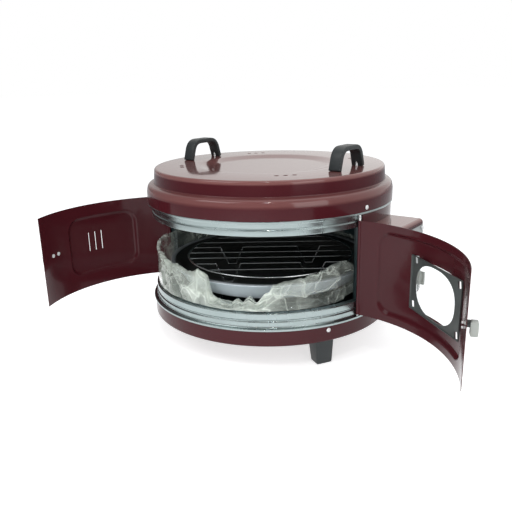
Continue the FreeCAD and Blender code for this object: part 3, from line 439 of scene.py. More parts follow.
module_plastic = surface_material(
    "module_case", (0.03, 0.03, 0.032), (0.045, 0.045, 0.045), 0.5, 0.1, patch=40, grain=900, depth=0.2)
lamp_red = surface_material(
    "red_lens", (0.45, 0.02, 0.012), (0.35, 0.015, 0.01), 0.12, 0.05, patch=60, grain=500, depth=0.05,
    coat=0.5)


def paint_inside_shade(material, colour):
    """Darken a vessel's material with painted shade where its mesh is marked as the inside."""
    nodes, links = material.node_tree.nodes, material.node_tree.links
    shader = nodes["Principled BSDF"]
    mark = add_node(nodes, "Attribute", attribute_name="inside")
    mix = add_node(nodes, "Mix", data_type="RGBA")
    mix.inputs["B"].default_value = (*colour, 1)
    links.new(shader.inputs["Base Color"].links[0].from_socket, mix.inputs["A"])
    connect(links, (mark, "Fac", mix, "Factor"), (mix, "Result", shader, "Base Color"))


# Painted shade: the tray's inside is darkened almost to black.
paint_inside_shade(tray_metal, (0.05, 0.052, 0.05))


def glass_material():
    """Clear window glass with faint smears."""
    material, nodes, links, shader = new_material("clear_window_glass")
    set_sockets(shader, {"Base Color": (0.97, 0.99, 0.985, 1), "Transmission Weight": 1.0, "IOR": 1.02})
    place = add_node(nodes, "TexCoord")
    smear = add_node(nodes, "TexNoise", {"Scale": 30})
    level = add_node(nodes, "MapRange", {"To Min": 0.0, "To Max": 0.03})
    connect(
        links,
        (place, "Object", smear, "Vector"),
        (smear, "Fac", level, "Value"),
        (level, "Result", shader, "Roughness"))
    return material


def film_material():
    """Thin clear packing film: milky in places, white along its folds."""
    material, nodes, links, shader = new_material("clear_film")
    set_sockets(shader, {
        "Base Color": (0.72, 0.79, 0.71, 1), "Roughness": 0.14, "Coat Weight": 1.0, "Coat Roughness": 0.06})
    place = add_node(nodes, "TexCoord")
    crease = add_node(nodes, "Attribute", attribute_name="crease")
    milk = add_node(nodes, "Attribute", attribute_name="milk")
    layers = add_node(nodes, "TexNoise", {"Scale": 18, "Detail": 3})
    haze = add_node(nodes, "MapRange", {"From Min": 0.35, "From Max": 0.68, "To Min": 0.45, "To Max": 1.25})
    body = add_node(nodes, "Math", operation="MULTIPLY")
    density = add_node(nodes, "Math", {1: 0.48}, operation="MULTIPLY_ADD", use_clamp=True)
    wrinkle = add_node(nodes, "TexNoise", {"Scale": 120})
    bump = add_node(nodes, "Bump", {"Strength": 0.4, "Distance": 0.002})
    connect(
        links,
        (place, "Object", layers, "Vector"),
        (layers, "Fac", haze, "Value"),
        (milk, "Fac", body, 0),
        (haze, "Result", body, 1),
        (crease, "Fac", density, 0),
        (body, 0, density, 2),
        (density, 0, shader, "Alpha"),
        (place, "Object", wrinkle, "Vector"),
        (wrinkle, "Fac", bump, "Height"),
        (bump, "Normal", shader, "Normal"))
    return material


window_glass = glass_material()
packing_film = film_material()


# The drum's spun sheet metal

VENT_RADIUS = 4.2 * MM
VENT_DEPTH = 10 * MM
VENT_RING = 163 * MM
VENT_PITCH = 15 * MM


def make_lid():
    """The stepped lid: rim, rounded shoulder, tier, flat top with a shallow dish, vents."""
    wall = 1.2 * MM
    tier_radius = RIM_RADIUS - 14 * MM
    top_radius = RIM_RADIUS - 16 * MM
    dish_rim = 132 * MM
    dish_floor = 106 * MM
    dish = LID_TOP - 5 * MM
    lid = spun("lid_shell", [
        (RIM_RADIUS, RIM_FOOT, 0.6 * MM),
        (RIM_RADIUS, SHOULDER, 1.5 * MM),
        (RIM_RADIUS - 2.5 * MM, TIER_FOOT - 3 * MM, 8 * MM),
        (tier_radius, TIER_FOOT, 1.5 * MM),
        (top_radius, LID_TOP, 5 * MM),
        (dish_rim, LID_TOP, 6 * MM),
        (dish_floor, dish, 6 * MM),
        (0.0, dish, 0),
        (0.0, dish - wall, 0),
        (dish_floor, dish - wall, 6 * MM),
        (dish_rim, LID_TOP - wall, 6 * MM),
        (top_radius - wall, LID_TOP - wall, 4 * MM),
        (tier_radius - wall, TIER_FOOT - wall, 1 * MM),
        (RIM_RADIUS - wall - 2.5 * MM, TIER_FOOT - wall - 3 * MM, 7 * MM),
        (RIM_RADIUS - wall, SHOULDER, 1 * MM),
        (RIM_RADIUS - wall, RIM_FOOT, 0),
    ])
    cutters = []
    for quarter in range(4):
        bearing = math.radians(45 + 90 * quarter)
        for step in (-1, 0, 1):
            side = Vector((math.cos(bearing), math.sin(bearing), 0)) * VENT_PITCH * step
            place = drum_point(VENT_RING, bearing, LID_TOP) + side
            cutters.append(rod_at(VENT_RADIUS, VENT_DEPTH, 24, place))
    cut_away(lid, join_pieces("vents", cutters))
    settle(lid)
    finish_piece(lid, "oven", "burgundy_enamel", lid_enamel, "lid")


def make_trim(name, node, seam, direction, height):
    """A rolled aluminium ring: bright lip, two flat bands with a groove between, inner web and skirt."""
    lip = RIM_RADIUS
    face = 223 * MM
    groove = face - 1.2 * MM
    inner = face - 2.5 * MM
    web = liner_high.x - 1 * MM
    skirt = DRUM_RADIUS - 1.3 * MM

    def up(distance):
        return seam + direction * distance * MM

    tall = height / MM
    ring = spun(name, [
        (inner, up(0), 0),
        (skirt - 1.2 * MM, up(0), 0),
        (skirt - 1.2 * MM, up(-14), 0),
        (skirt, up(-14), 0),
        (skirt, up(0), 0),
        (lip, up(0), 0.8 * MM),
        (lip, up(4), 1.2 * MM),
        (face + 2 * MM, up(4.2), 1.0 * MM),
        (face + 0.6 * MM, up(6), 1.0 * MM),
        (face + 0.6 * MM, up(tall * 0.48), 0.8 * MM),
        (groove, up(tall * 0.52), 0.8 * MM),
        (groove, up(tall * 0.58), 0.8 * MM),
        (face, up(tall * 0.62), 0.8 * MM),
        (face, up(tall), 2.0 * MM),
        (web, up(tall), 0),
        (web, up(tall - 2), 0),
        (inner, up(tall - 2), 0),
    ])
    finish_piece(ring, "oven", "trim_aluminium", trim_metal, node)


def make_base_pan():
    band = spun("base_band", [
        (0.0, BAND_FOOT, 0),
        (DRUM_RADIUS, BAND_FOOT, 4 * MM),
        (DRUM_RADIUS, BAND_TOP, 0.5 * MM),
        (DRUM_RADIUS - SHEET, BAND_TOP, 0),
        (DRUM_RADIUS - SHEET, BAND_FOOT + SHEET, 3 * MM),
        (0.0, BAND_FOOT + SHEET, 0),
    ])
    finish_piece(band, "oven", "burgundy_enamel", enamel, "base_pan")


def make_rear_shell():
    past_hinge = 5.3 * MM
    start = HINGE_BEARING + past_hinge / HINGE_RADIUS
    shell = spun("rear_wall", [
        (DRUM_RADIUS, SHELL_FOOT, 0),
        (DRUM_RADIUS, SHELL_TOP, 0),
        (DRUM_RADIUS - SHEET, SHELL_TOP, 0),
        (DRUM_RADIUS - SHEET, SHELL_FOOT, 0),
    ], start=start, sweep=2 * math.pi - 2 * start)
    finish_piece(shell, "oven", "burgundy_enamel", enamel, "rear_shell")


make_lid()
make_trim("upper_trim", "upper_trim_ring", RIM_FOOT, -1, RIM_FOOT - HEAD)
make_trim("lower_trim", "lower_trim_ring", BAND_TOP, 1, SILL - BAND_TOP)
make_base_pan()
make_rear_shell()


# The doors

def open_door(piece, side):
    """Turn a closed door's piece about its hinge to where it stands at rest."""
    hinge = Vector((HINGE.x * side, HINGE.y, 0))
    angle = RIGHT_OPEN if side > 0 else -LEFT_OPEN
    turn = Matrix.Translation(hinge) @ Matrix.Rotation(angle, 4, "Z") @ Matrix.Translation(-hinge)
    piece.matrix_world = turn @ piece.matrix_world
    return piece


def eased_step(value):
    value = min(1.0, max(0.0, value))
    return value * value * (3 - 2 * value)


def panel_press(along, up, middle, half_width, half_height, corner, slope):
    """How far a point lies inside a pressed panel with round corners, from 0 to 1."""
    reach_x = abs(along - middle[0]) - (half_width - corner)
    reach_z = abs(up - middle[1]) - (half_height - corner)
    outside = math.hypot(max(reach_x, 0), max(reach_z, 0))
    distance = outside + min(max(reach_x, reach_z), 0) - corner
    return eased_step(-distance / slope)


DOOR_RADIUS = 225.5 * MM
DOOR_FOOT = SHELL_FOOT + 2 * MM
DOOR_TOP = SHELL_TOP - 9.5 * MM
DOOR_EDGE = 0.8 * MM
LEAF_TO_PIN = 2.6 * MM
LEAF_COLUMNS = 150
LEAF_ROWS = 92
PANEL_DEPTH = 5 * MM
PANEL_SLOPE = 6.5 * MM
# Each pressed panel: first and last bearing, foot, top and corner radius
RIGHT_PANEL = (math.radians(11.5), math.radians(67.5), 92 * MM, 233 * MM, 24 * MM)
LEFT_PANEL = (math.radians(20.5), math.radians(59), 107 * MM, 222 * MM, 26 * MM)
KNUCKLE_RADIUS = 2.9 * MM
KNUCKLE_BORE = 1.85 * MM
# Long enough for a cutter to pass right through
CUT_DEPTH = 60 * MM
SLIT_SIZE = (CUT_DEPTH, 1.5 * MM, 38 * MM)
SLIT_HEIGHT = 169 * MM
SLIT_MIDDLE = math.radians(-36.8)
SLIT_STEP = math.radians(3.5)


def make_leaf(name, side, start, end, foot, top, corner):
    """A curved door leaf with its pressed panel, still closed and without holes."""
    length = DOOR_RADIUS * HINGE_BEARING - LEAF_TO_PIN - DOOR_EDGE
    height = DOOR_TOP - DOOR_FOOT
    deselect()
    bpy.ops.mesh.primitive_grid_add(x_subdivisions=LEAF_COLUMNS, y_subdivisions=LEAF_ROWS, size=1)
    leaf = bpy.context.object
    leaf.name = name
    middle = ((start + end) / 2 * DOOR_RADIUS, (foot + top) / 2)
    half_width = (end - start) / 2 * DOOR_RADIUS
    half_height = (top - foot) / 2
    for vertex in leaf.data.vertices:
        along = DOOR_EDGE + (vertex.co.x + 0.5) * length
        up = DOOR_FOOT + (vertex.co.y + 0.5) * height
        press = panel_press(along, up, middle, half_width, half_height, corner, PANEL_SLOPE)
        vertex.co = drum_point(DOOR_RADIUS + PANEL_DEPTH * press, side * along / DOOR_RADIUS, up)
    face_outwards(leaf)
    outward = leaf.data.polygons[0].normal.dot(drum_point(1, side * 0.01, 0)) > 0
    thicken(leaf, SHEET, 1.0 if outward else -1.0)
    apply_modifiers(leaf)
    return leaf


def make_knuckle(side):
    """The rolled hinge tube at the door's edge."""
    tall = DOOR_TOP - DOOR_FOOT
    middle = (HINGE.x * side, HINGE.y, (DOOR_TOP + DOOR_FOOT) / 2)
    tube = rod_at(KNUCKLE_RADIUS, tall, 40, middle)
    cut_away(tube, rod_at(KNUCKLE_BORE, tall + CUT_DEPTH, 40, middle))
    return tube


def flattened_disc(radius, half_height, bearing, height):
    """A round cutter with a flat top and bottom, pointing out of the door."""
    place = drum_point(DOOR_RADIUS, bearing, height)
    disc = rod_at(radius, CUT_DEPTH, 96, place, (math.pi / 2, 0, bearing))
    for vertex in disc.data.vertices:
        vertex.co.z = max(height - half_height, min(height + half_height, vertex.co.z))
    return disc


WINDOW_BEARING = math.radians(33.9)
WINDOW_HEIGHT = 162.5 * MM
WINDOW_RADIUS = 52 * MM
WINDOW_HALF_HEIGHT = 39.5 * MM
# Below one, the opening's round sides turn towards flat ends
WINDOW_FULLNESS = 0.8
FRAME_HALF_WIDTH = 67 * MM
FRAME_HALF_HEIGHT = 44 * MM
# Slots near the frame's corners: across towards the hinge, and up, from the window's middle
FRAME_SLOTS = [
    (FRAME_HALF_WIDTH - 13 * MM, FRAME_HALF_HEIGHT - 6 * MM),
    (-FRAME_HALF_WIDTH + 7 * MM, FRAME_HALF_HEIGHT - 8 * MM),
    (FRAME_HALF_WIDTH - 9 * MM, -FRAME_HALF_HEIGHT + 10 * MM),
    (-FRAME_HALF_WIDTH + 7 * MM, -FRAME_HALF_HEIGHT + 7 * MM),
]
SLOT_WIDTH = 7 * MM
SLOT_HEIGHT = 10 * MM
SLOT_LEAN = math.radians(12)
# The door's own opening and slots are a little larger, lower and nearer the hinge than the frame's
OPENING_WIDER = 2.5 * MM
OPENING_TALLER = 1.5 * MM
OPENING_DROP = 4 * MM
OPENING_ASIDE = 9 * MM
SLOT_LARGER = 4 * MM
SLOT_DROP = 2.5 * MM
SLOT_ASIDE = 6 * MM


def plate_place(distance, bearing, height):
    """The frame of reference of a flat plate across the drum: its X runs round, its Z up, its Y inwards."""
    turn = Matrix.Rotation(bearing, 4, "Z")
    return Matrix.Translation(drum_point(distance, bearing, height)) @ turn


def corner_slots(grow=0.0, aside=0.0, drop=0.0):
    """Cutters for the slots near the window frame's corners, pointing out of the door."""
    size = (SLOT_WIDTH + grow, CUT_DEPTH, SLOT_HEIGHT + grow)
    return [box_at(size, (across + aside, 0, up - drop), (0, SLOT_LEAN, 0)) for across, up in FRAME_SLOTS]


def make_right_door():
    leaf = make_leaf("right_leaf", 1, *RIGHT_PANEL)
    opening = flattened_disc(
        WINDOW_RADIUS + OPENING_WIDER, WINDOW_HALF_HEIGHT + OPENING_TALLER,
        WINDOW_BEARING + OPENING_ASIDE / DOOR_RADIUS, WINDOW_HEIGHT - OPENING_DROP)
    slots = join_pieces("slot_cutter", corner_slots(SLOT_LARGER, SLOT_ASIDE, SLOT_DROP))
    slots.matrix_world = plate_place(DOOR_RADIUS, WINDOW_BEARING, WINDOW_HEIGHT)
    cut_away(leaf, opening)
    cut_away(leaf, settle(slots))
    leaf = join_pieces("right_leaf", [leaf, make_knuckle(1)])
    settle(open_door(leaf, 1), 40)
    finish_piece(leaf, "right_door", "burgundy_enamel", enamel, "right_door")


def make_left_door():
    leaf = make_leaf("left_leaf", -1, *LEFT_PANEL)
    slits = []
    for step in (-1, 0, 1):
        bearing = SLIT_MIDDLE - SLIT_STEP * step
        place = drum_point(DOOR_RADIUS, bearing, SLIT_HEIGHT)
        slits.append(box_at(SLIT_SIZE, place, (0, 0, bearing - math.pi / 2)))
    cut_away(leaf, join_pieces("slit_cutter", slits))
    leaf = join_pieces("left_leaf", [leaf, make_knuckle(-1)])
    settle(open_door(leaf, -1), 40)
    finish_piece(leaf, "left_door", "burgundy_enamel", enamel, "left_door")


make_right_door()
make_left_door()


# The lid's strap handles

def make_handle(side):
    """A moulded strap bent into an arch, standing on the lid."""
    name = "right" if side > 0 else "left"
    low, high = node_span(name + "_lid_handle")
    middle_x = (low.x + high.x) / 2
    rise = high.z - low.z
    inset = 3.5 * MM
    foot = (high.y - low.y) / 2 - inset
    strap = 8.5 * MM
    width = 22 * MM
    lean = 11 * MM
    bend = 17 * MM
    points = eased([
        (-foot, 0.0, 0),
        (-foot + lean, rise - strap / 2, bend),
        (foot - lean, rise - strap / 2, bend),
        (foot, 0.0, 0),
    ], steps=12)
    path = [Vector((middle_x - width / 2, point.x, low.z + point.z)) for point in points]
    handle = draw_line(name + "_strap", path)
    select_mesh()
    bpy.ops.mesh.extrude_region_move(TRANSFORM_OT_translate={"value": Vector((width, 0, 0))})
    switch_mode("OBJECT")
    face_outwards(handle)
    thicken(handle, strap, 0)
    soften(handle, 2 * MM, angle=50)
    apply_modifiers(handle)
    for vertex in handle.data.vertices:
        world = handle.matrix_world @ vertex.co
        if world.z < low.z:
            world.z = low.z
            vertex.co = handle.matrix_world.inverted() @ world
    settle(handle, 40)
    finish_piece(handle, "oven", "black_moulding", black_moulding, name + "_lid_handle")


make_handle(1)
make_handle(-1)


# The window's flat frame

FRAME_FACE = 219.5 * MM
FRAME_WALL = 1.0 * MM
FRAME_FOLD = 2.6 * MM
# How far the long folds are drawn in towards the window
FOLD_DRAW = 0.985


def make_window_frame():
    """The dark retainer: a flat plate with folded edges, a flattened round opening and corner slots."""
    deselect()
    bpy.ops.mesh.primitive_plane_add(size=1, rotation=(math.pi / 2, 0, 0))
    plate = bpy.context.object
    plate.name = "retainer_frame"
    plate.scale = (FRAME_HALF_WIDTH * 2, FRAME_HALF_HEIGHT * 2, 1)
    apply_place()
    switch_mode("EDIT")
    bpy.ops.mesh.select_mode(type="EDGE")
    select_mesh()
    bpy.ops.mesh.extrude_edges_move(TRANSFORM_OT_translate={"value": (0, FRAME_FOLD, 0)})
    switch_mode("OBJECT")
    face_outwards(plate)
    for vertex in plate.data.vertices:
        if vertex.co.y > FRAME_FOLD / 2 and abs(vertex.co.z) > FRAME_HALF_HEIGHT * 0.9:
            vertex.co.z *= FOLD_DRAW
    thicken(plate, FRAME_WALL, -1, even=True)
    soften(plate, 0.7 * MM, 3, angle=50)
    apply_modifiers(plate)
    opening = rod_at(1, CUT_DEPTH, 128, rotation=(math.pi / 2, 0, 0))
    for vertex in opening.data.vertices:
        vertex.co.x = math.copysign(abs(vertex.co.x) ** WINDOW_FULLNESS, vertex.co.x) * WINDOW_RADIUS
        vertex.co.z = math.copysign(abs(vertex.co.z) ** WINDOW_FULLNESS, vertex.co.z) * WINDOW_HALF_HEIGHT
    cut_away(plate, join_pieces("frame_cutter", [opening] + corner_slots()))
    plate.matrix_world = plate_place(FRAME_FACE, WINDOW_BEARING, WINDOW_HEIGHT)
    settle(open_door(plate, 1), 40)
    finish_piece(plate, "right_door", "frame_steel", frame_metal, "window_frame")


make_window_frame()


# The tray and its film

TRAY_FOOT = tray_low.z
TRAY_TOP = tray_high.z
TRAY_LIP = tray_high.x


def make_tray():
    """A pressed tray with a rolled lip, bright outside, its inside and lip darkened by painted shade."""
    wall = 1.0 * MM
    floor_radius = 168 * MM
    rim = 188 * MM
    flare = (rim - floor_radius) / (TRAY_TOP - TRAY_FOOT)
    lip_shade = 0.7
    tray = spun("pressed_tray", [
        (0.0, TRAY_FOOT, 0),
        (floor_radius, TRAY_FOOT, 8 * MM),
        (rim, TRAY_TOP - wall, 3 * MM),
        (TRAY_LIP - 1.5 * MM, TRAY_TOP - wall, 1 * MM),
        (TRAY_LIP - 1.2 * MM, TRAY_TOP - 3.2 * MM, 1 * MM),
        (TRAY_LIP, TRAY_TOP - 3.2 * MM, 0.6 * MM),
        (TRAY_LIP, TRAY_TOP, 2 * MM),
        (rim - wall, TRAY_TOP, 3 * MM),
        (floor_radius - wall, TRAY_FOOT + wall, 8 * MM),
        (0.0, TRAY_FOOT + wall, 0),
    ])
    # Marks for the painted shade: full on the inside, partial on the lip.
    inside = tray.data.attributes.new("inside", "FLOAT", "POINT")
    for vertex, mark in zip(tray.data.vertices, inside.data):
        radius = math.hypot(vertex.co.x, vertex.co.y)
        outer = floor_radius + (vertex.co.z - TRAY_FOOT) * flare
        within = radius < outer - wall * 0.6 and vertex.co.z > TRAY_FOOT + wall * 0.5
        mark.value = 1.0 if within else 0.0
        if vertex.co.z > TRAY_TOP - wall * 2:
            mark.value = lip_shade
    finish_piece(tray, "tray", "tray_aluminium", tray_metal, "baking_tray")


def blended(table, bearing):
    """Read a table of (bearing, values...) with soft steps between its rows."""
    for (first, *here), (last, *there) in zip(table, table[1:]):
        if first <= bearing <= last:
            share = eased_step((bearing - first) / (last - first))
            return [a + (b - a) * share for a, b in zip(here, there)]
    return list(table[-1][1:])


# The film's run: bearing in degrees, then in millimetres its crest height, crest radius, foot radius,
# bulge and cuff, and last its milkiness
FILM_RUN = [
    (-180, 148, 199, 204, 2, 8, 0.1),
    (-130, 156, 200, 204, 2, 8, 0.15),
    (-100, 168, 202, 205, 3, 8, 0.25),
    (-80, 172, 206, 208, 4, 8, 0.4),
    (-62, 172, 211, 216, 4, 6, 0.6),
    (-45, 170, 213, 219, 3, 6, 0.62),
    (-30, 166, 212, 219, 4, 9, 0.5),
    (-18, 161, 208, 219, 5, 18, 0.42),
    (-8, 156, 205, 218, 6, 40, 0.5),
    (-1, 163, 204, 218, 7, 46, 0.62),
    (4, 155, 203, 218, 7, 40, 0.62),
    (7, 120, 203, 218, 3, 12, 0.65),
    (12, 115, 204, 218, 3, 4, 0.65),
    (17, 113, 204, 218, 3, 3, 0.65),
    (19.5, 122, 204, 218, 3, 6, 0.6),
    (22, 116, 204, 218, 3, 4, 0.65),
    (25.5, 129, 204, 218, 3, 7, 0.6),
    (29, 114, 204, 218, 3, 4, 0.65),
    (34, 134, 204, 218, 3, 10, 0.45),
    (37, 145, 203, 218, 3, 16, 0.35),
    (43, 150, 203, 217, 4, 24, 0.2),
    (49, 156, 203, 216, 5, 28, 0.2),
    (55, 158, 204, 215, 5, 30, 0.14),
    (61, 165, 204, 214, 5, 34, 0.1),
    (67, 174, 204, 212, 5, 30, 0.1),
    (72, 174, 203, 208, 3, 20, 0.12),
    (80, 158, 201, 205, 2, 10, 0.15),
    (110, 149, 200, 204, 2, 8, 0.1),
    (180, 148, 199, 204, 2, 8, 0.1),
]
FILM_COLUMNS = 1200
FILM_ROWS = 60
# Shares of the film's girth at which its foot and its crest lie
FILM_FOOT = 0.14
FILM_CREST = 0.66
# The cuff in millimetres: how far it stands out and leans, how its top rolls; then how soon it turns
CUFF_OUT = 7
CUFF_LEAN = 3
CUFF_ROLL = 1.5
CUFF_TURN = 1.6
# How far in under the tray the film reaches, in millimetres from the axis
FILM_UNDER = 178
# Folds that cross one another: direction in degrees, spacing and height in millimetres
FILM_FOLDS = [(80, 38, 5.0), (31, 47, 6.0), (-38, 41, 5.5), (4, 62, 4.0)]
# The sheet as its folds are laid out, in millimetres
FILM_RADIUS = 208
FILM_GIRTH = 110
# Millimetres that the folds drift, the share of a fold that lifts the film, half a white ridge's width
FOLD_DRIFT = 9
FOLD_LIFT = 0.35
RIDGE_REACH = 1.9
# The film's foot: its height in the doorway and behind it, and the bearing where the doorway ends
FOOT_IN_DOORWAY = 104.6
FOOT_BEHIND = 110
DOORWAY_END = 72
# The film's outer bound: its radius in the doorway, narrowing with each degree to the liner's
FILM_OUTERMOST = 219.5
NARROWS_FROM = 66
NARROWING = 1.6
IN_LINER = 209.5
LINER_FROM = 74
# Beside the closed window frame: the bearings, the height and the radius that keep clear of it
FRAME_BEARINGS = (8, 60)
FRAME_FOOT = 114
CLEAR_OF_FRAME = 211.5
# The tray: its wall's foot, its flare, the heights of its lip and the radii that clear them
WALL_FOOT = 106
WALL_FOOT_RADIUS = 168
WALL_FLARE = 20 / 36
CLEAR_OF_WALL = 3
LIP_HEIGHTS = (138, 146)
CLEAR_OF_LIP = 195.2
FILM_INNERMOST = 176
# The sill's inner edge and the lowest the film comes on it and inside it
SILL_EDGE = 210.5
LOWEST_ON_SILL = 103.9
LOWEST_INSIDE = 96.0


def wander(bearing, pace, seed, layer=0):
    return noise.noise(Vector((bearing * pace, seed, layer)))


def film_point(bearing, t):
    """A point of the film: from under the tray to the sill, wall, crest, then the cuff outside."""
    crest, crest_r, foot_r, bulge, cuff, milky = blended(FILM_RUN, bearing)
    foot_z = FOOT_IN_DOORWAY if abs(bearing) < DOORWAY_END else FOOT_BEHIND
    edge = wander(bearing, 0.11, 3.1) * 4 + wander(bearing, 0.4, 7.7) * 3
    crest += edge
    cuff += wander(bearing, 0.16, 9.3, 2) * 7
    if t < FILM_FOOT:
        s = t / FILM_FOOT
        radius = FILM_UNDER + (foot_r - FILM_UNDER) * s
        height = foot_z + edge * 0.2 * (1 - s)
    elif t < FILM_CREST:
        s = (t - FILM_FOOT) / (FILM_CREST - FILM_FOOT)
        radius = foot_r + (crest_r - foot_r) * s + bulge * math.sin(math.pi * s)
        height = foot_z + (crest - foot_z) * s
    else:
        s = (t - FILM_CREST) / (1 - FILM_CREST)
        radius = crest_r + CUFF_OUT * math.sin(min(1.0, s * CUFF_TURN) * math.pi / 2) + CUFF_LEAN * s
        height = crest + CUFF_ROLL * math.sin(math.pi * s) - cuff * s * s
    return radius, height, milky


def film_crumple(along, up):
    """Crossing folds with sharp ridges: millimetres outwards, and how near the place is to a ridge."""
    # Slow noise moves the folds about and makes them stronger in places
    drift = Vector((along * 0.017, up * 0.03, 0.7))
    along += FOLD_DRIFT * noise.noise(drift)
    up += FOLD_DRIFT * noise.noise(drift + Vector((3.7, 8.2, 1.9)))
    amount = max(0.15, min(1.0, 0.6 + 1.1 * noise.noise(Vector((along * 0.02, up * 0.03, 5.5)))))
    outward = 0.0
    ridge = 0.0
    for number, (turn, spacing, rise) in enumerate(FILM_FOLDS):
        angle = math.radians(turn)
        run = (along * math.cos(angle) + up * math.sin(angle)) / spacing
        run += 0.35 * noise.noise(Vector((along * 0.05, up * 0.05, number * 4.1)))
        phase = run - math.floor(run)
        outward += rise * amount * (abs(2 * phase - 1) - 0.5)
        distance = min(phase, 1 - phase) * spacing
        ridge = max(ridge, amount * (1 - distance / RIDGE_REACH))
    return outward, max(0.0, ridge)


def film_limits(bearing, radius, height):
    """Keep the film outside the tray, on the sill, clear of the liner and of the closed window frame."""
    turn = abs(bearing)
    outer = IN_LINER
    if turn < LINER_FROM:
        outer = max(IN_LINER, FILM_OUTERMOST - max(0, turn - NARROWS_FROM) * NARROWING)
    if FRAME_BEARINGS[0] < bearing < FRAME_BEARINGS[1] and height > FRAME_FOOT:
        outer = min(outer, CLEAR_OF_FRAME)
    inner = max(WALL_FOOT_RADIUS + (height - WALL_FOOT) * WALL_FLARE + CLEAR_OF_WALL, FILM_INNERMOST)
    if LIP_HEIGHTS[0] < height < LIP_HEIGHTS[1]:
        inner = CLEAR_OF_LIP
    radius = max(inner, min(outer, radius))
    if radius > SILL_EDGE:
        height = max(height, LOWEST_ON_SILL)
    return radius, max(height, LOWEST_INSIDE)


def make_film():
    """The clear packing film wrapped round the tray, crumpled and hanging onto the sill."""
    deselect()
    bpy.ops.mesh.primitive_grid_add(x_subdivisions=FILM_COLUMNS, y_subdivisions=FILM_ROWS, size=2)
    film = bpy.context.object
    film.name = film.data.name = "tray_wrap"
    crease = film.data.attributes.new("crease", "FLOAT", "POINT")
    milk = film.data.attributes.new("milk", "FLOAT", "POINT")
    for vertex, fold_mark, milk_mark in zip(film.data.vertices, crease.data, milk.data):
        bearing = 180 * vertex.co.x
        t = (vertex.co.y + 1) / 2
        strength = 0.3 + 0.7 * eased_step(t * 3)
        radius, height, milky = film_point(bearing, t)
        outward, ridge = film_crumple(math.radians(bearing) * FILM_RADIUS, t * FILM_GIRTH)
        outward *= strength
        radius, height = film_limits(bearing, radius + outward, height + outward * FOLD_LIFT)
        vertex.co = drum_point(radius * MM, math.radians(bearing), height * MM)
        fold_mark.value = 1.0 if t < 0.001 or t > 0.999 else ridge
        milk_mark.value = milky
    face_outwards(film, 0.01 * MM)
    settle(film, 24)
    finish_piece(film, "tray", "packing_film", packing_film, "tray_film")


make_tray()
make_film()


# Moulded feet

def make_foot(name, bearing):
    """A moulded foot: upright outside, sloping to a narrow tread inside, with soft edges."""
    low, high = node_span(name)
    outer = 219 * MM
    tread = 25 * MM
    head = 34 * MM
    half_width = 17 * MM
    tall = high.z - low.z
    taper = 0.86
    draft = 1.5 * MM
    foot = box_at((1, 1, 1))
    foot.name = name + "_moulding"
    for vertex in foot.data.vertices:
        top = vertex.co.z > 0
        inner = vertex.co.x < 0
        depth = head if top else tread
        width = half_width if top else half_width * taper
        vertex.co = Vector((
            outer - (depth if inner else (0 if top else draft)),
            math.copysign(width, vertex.co.y),
            tall if top else 0.0))
    switch_mode("EDIT")
    select_mesh()
    bpy.ops.mesh.subdivide(number_cuts=1)
    switch_mode("OBJECT")
    soften(foot, 3.2 * MM, angle=40)
    apply_modifiers(foot)
    foot.matrix_world = Matrix.Translation((0, 0, low.z)) @ Matrix.Rotation(bearing - math.pi / 2, 4, "Z")
    settle(foot, 40)
    finish_piece(foot, "oven", "black_moulding", black_moulding, name)


make_foot("front_left_foot", math.radians(-60))
make_foot("front_right_foot", math.radians(60))
make_foot("rear_foot", math.radians(180))


# Screws

SCREW_HEAD = 3.9 * MM
SCREW_RISE = 0.9 * MM
SCREW_SINK = 0.5 * MM


def make_screw_template():
    """A domed screw head with a cross slot, standing on its seat along Z."""
    deselect()
    bpy.ops.mesh.primitive_uv_sphere_add(segments=32, ring_count=16, radius=SCREW_HEAD)
    head = bpy.context.object
    switch_mode("EDIT")
    select_mesh()
    bpy.ops.mesh.bisect(plane_co=(0, 0, 0), plane_no=(0, 0, 1), clear_inner=True, use_fill=True)
    select_mesh()
    bpy.ops.transform.resize(value=(1, 1, SCREW_RISE / SCREW_HEAD))
    switch_mode("OBJECT")
    size = (SCREW_HEAD * 1.1, 0.6 * MM, SCREW_RISE * 0.7)
    slots = [box_at(size, (0, 0, SCREW_RISE), (0, 0, turn)) for turn in (0, math.pi / 2)]
    cut_away(head, join_pieces("cross_slot", slots))
    return settle(head, 40)


def place_screws(name, node, radius, height, bearings):
    """Copies of the screw head round the drum's wall, at bearings in degrees."""
    heads = []
    for bearing in bearings:
        turn = math.radians(bearing)
        head = screw_template.copy()
        head.data = screw_template.data.copy()
        bpy.context.scene.collection.objects.link(head)
        outward = drum_point(1, turn, 0).to_track_quat("Z", "Y").to_matrix().to_4x4()
        head.matrix_world = Matrix.Translation(drum_point(radius - SCREW_SINK, turn, height)) @ outward
        heads.append(head)
    piece = settle(join_pieces(name, heads), 40)
    finish_piece(piece, "oven", "zinc_steel", zinc, node)


screw_template = make_screw_template()
place_screws("lid_rim_heads", "lid_rim_screws", RIM_RADIUS, height=265 * MM, bearings=(79, 180, -79))
place_screws("band_heads", "band_screws", DRUM_RADIUS, height=67 * MM, bearings=(60, 180, -60))
bpy.data.objects.remove(screw_template)


# Knobs and dial marks

KNOB_FLUTES = 20
FLUTE_DEPTH = 0.035
MARK_RING = 20 * MM
MARK_WIDTH = 1.0 * MM
MARK_RISE = 0.2 * MM


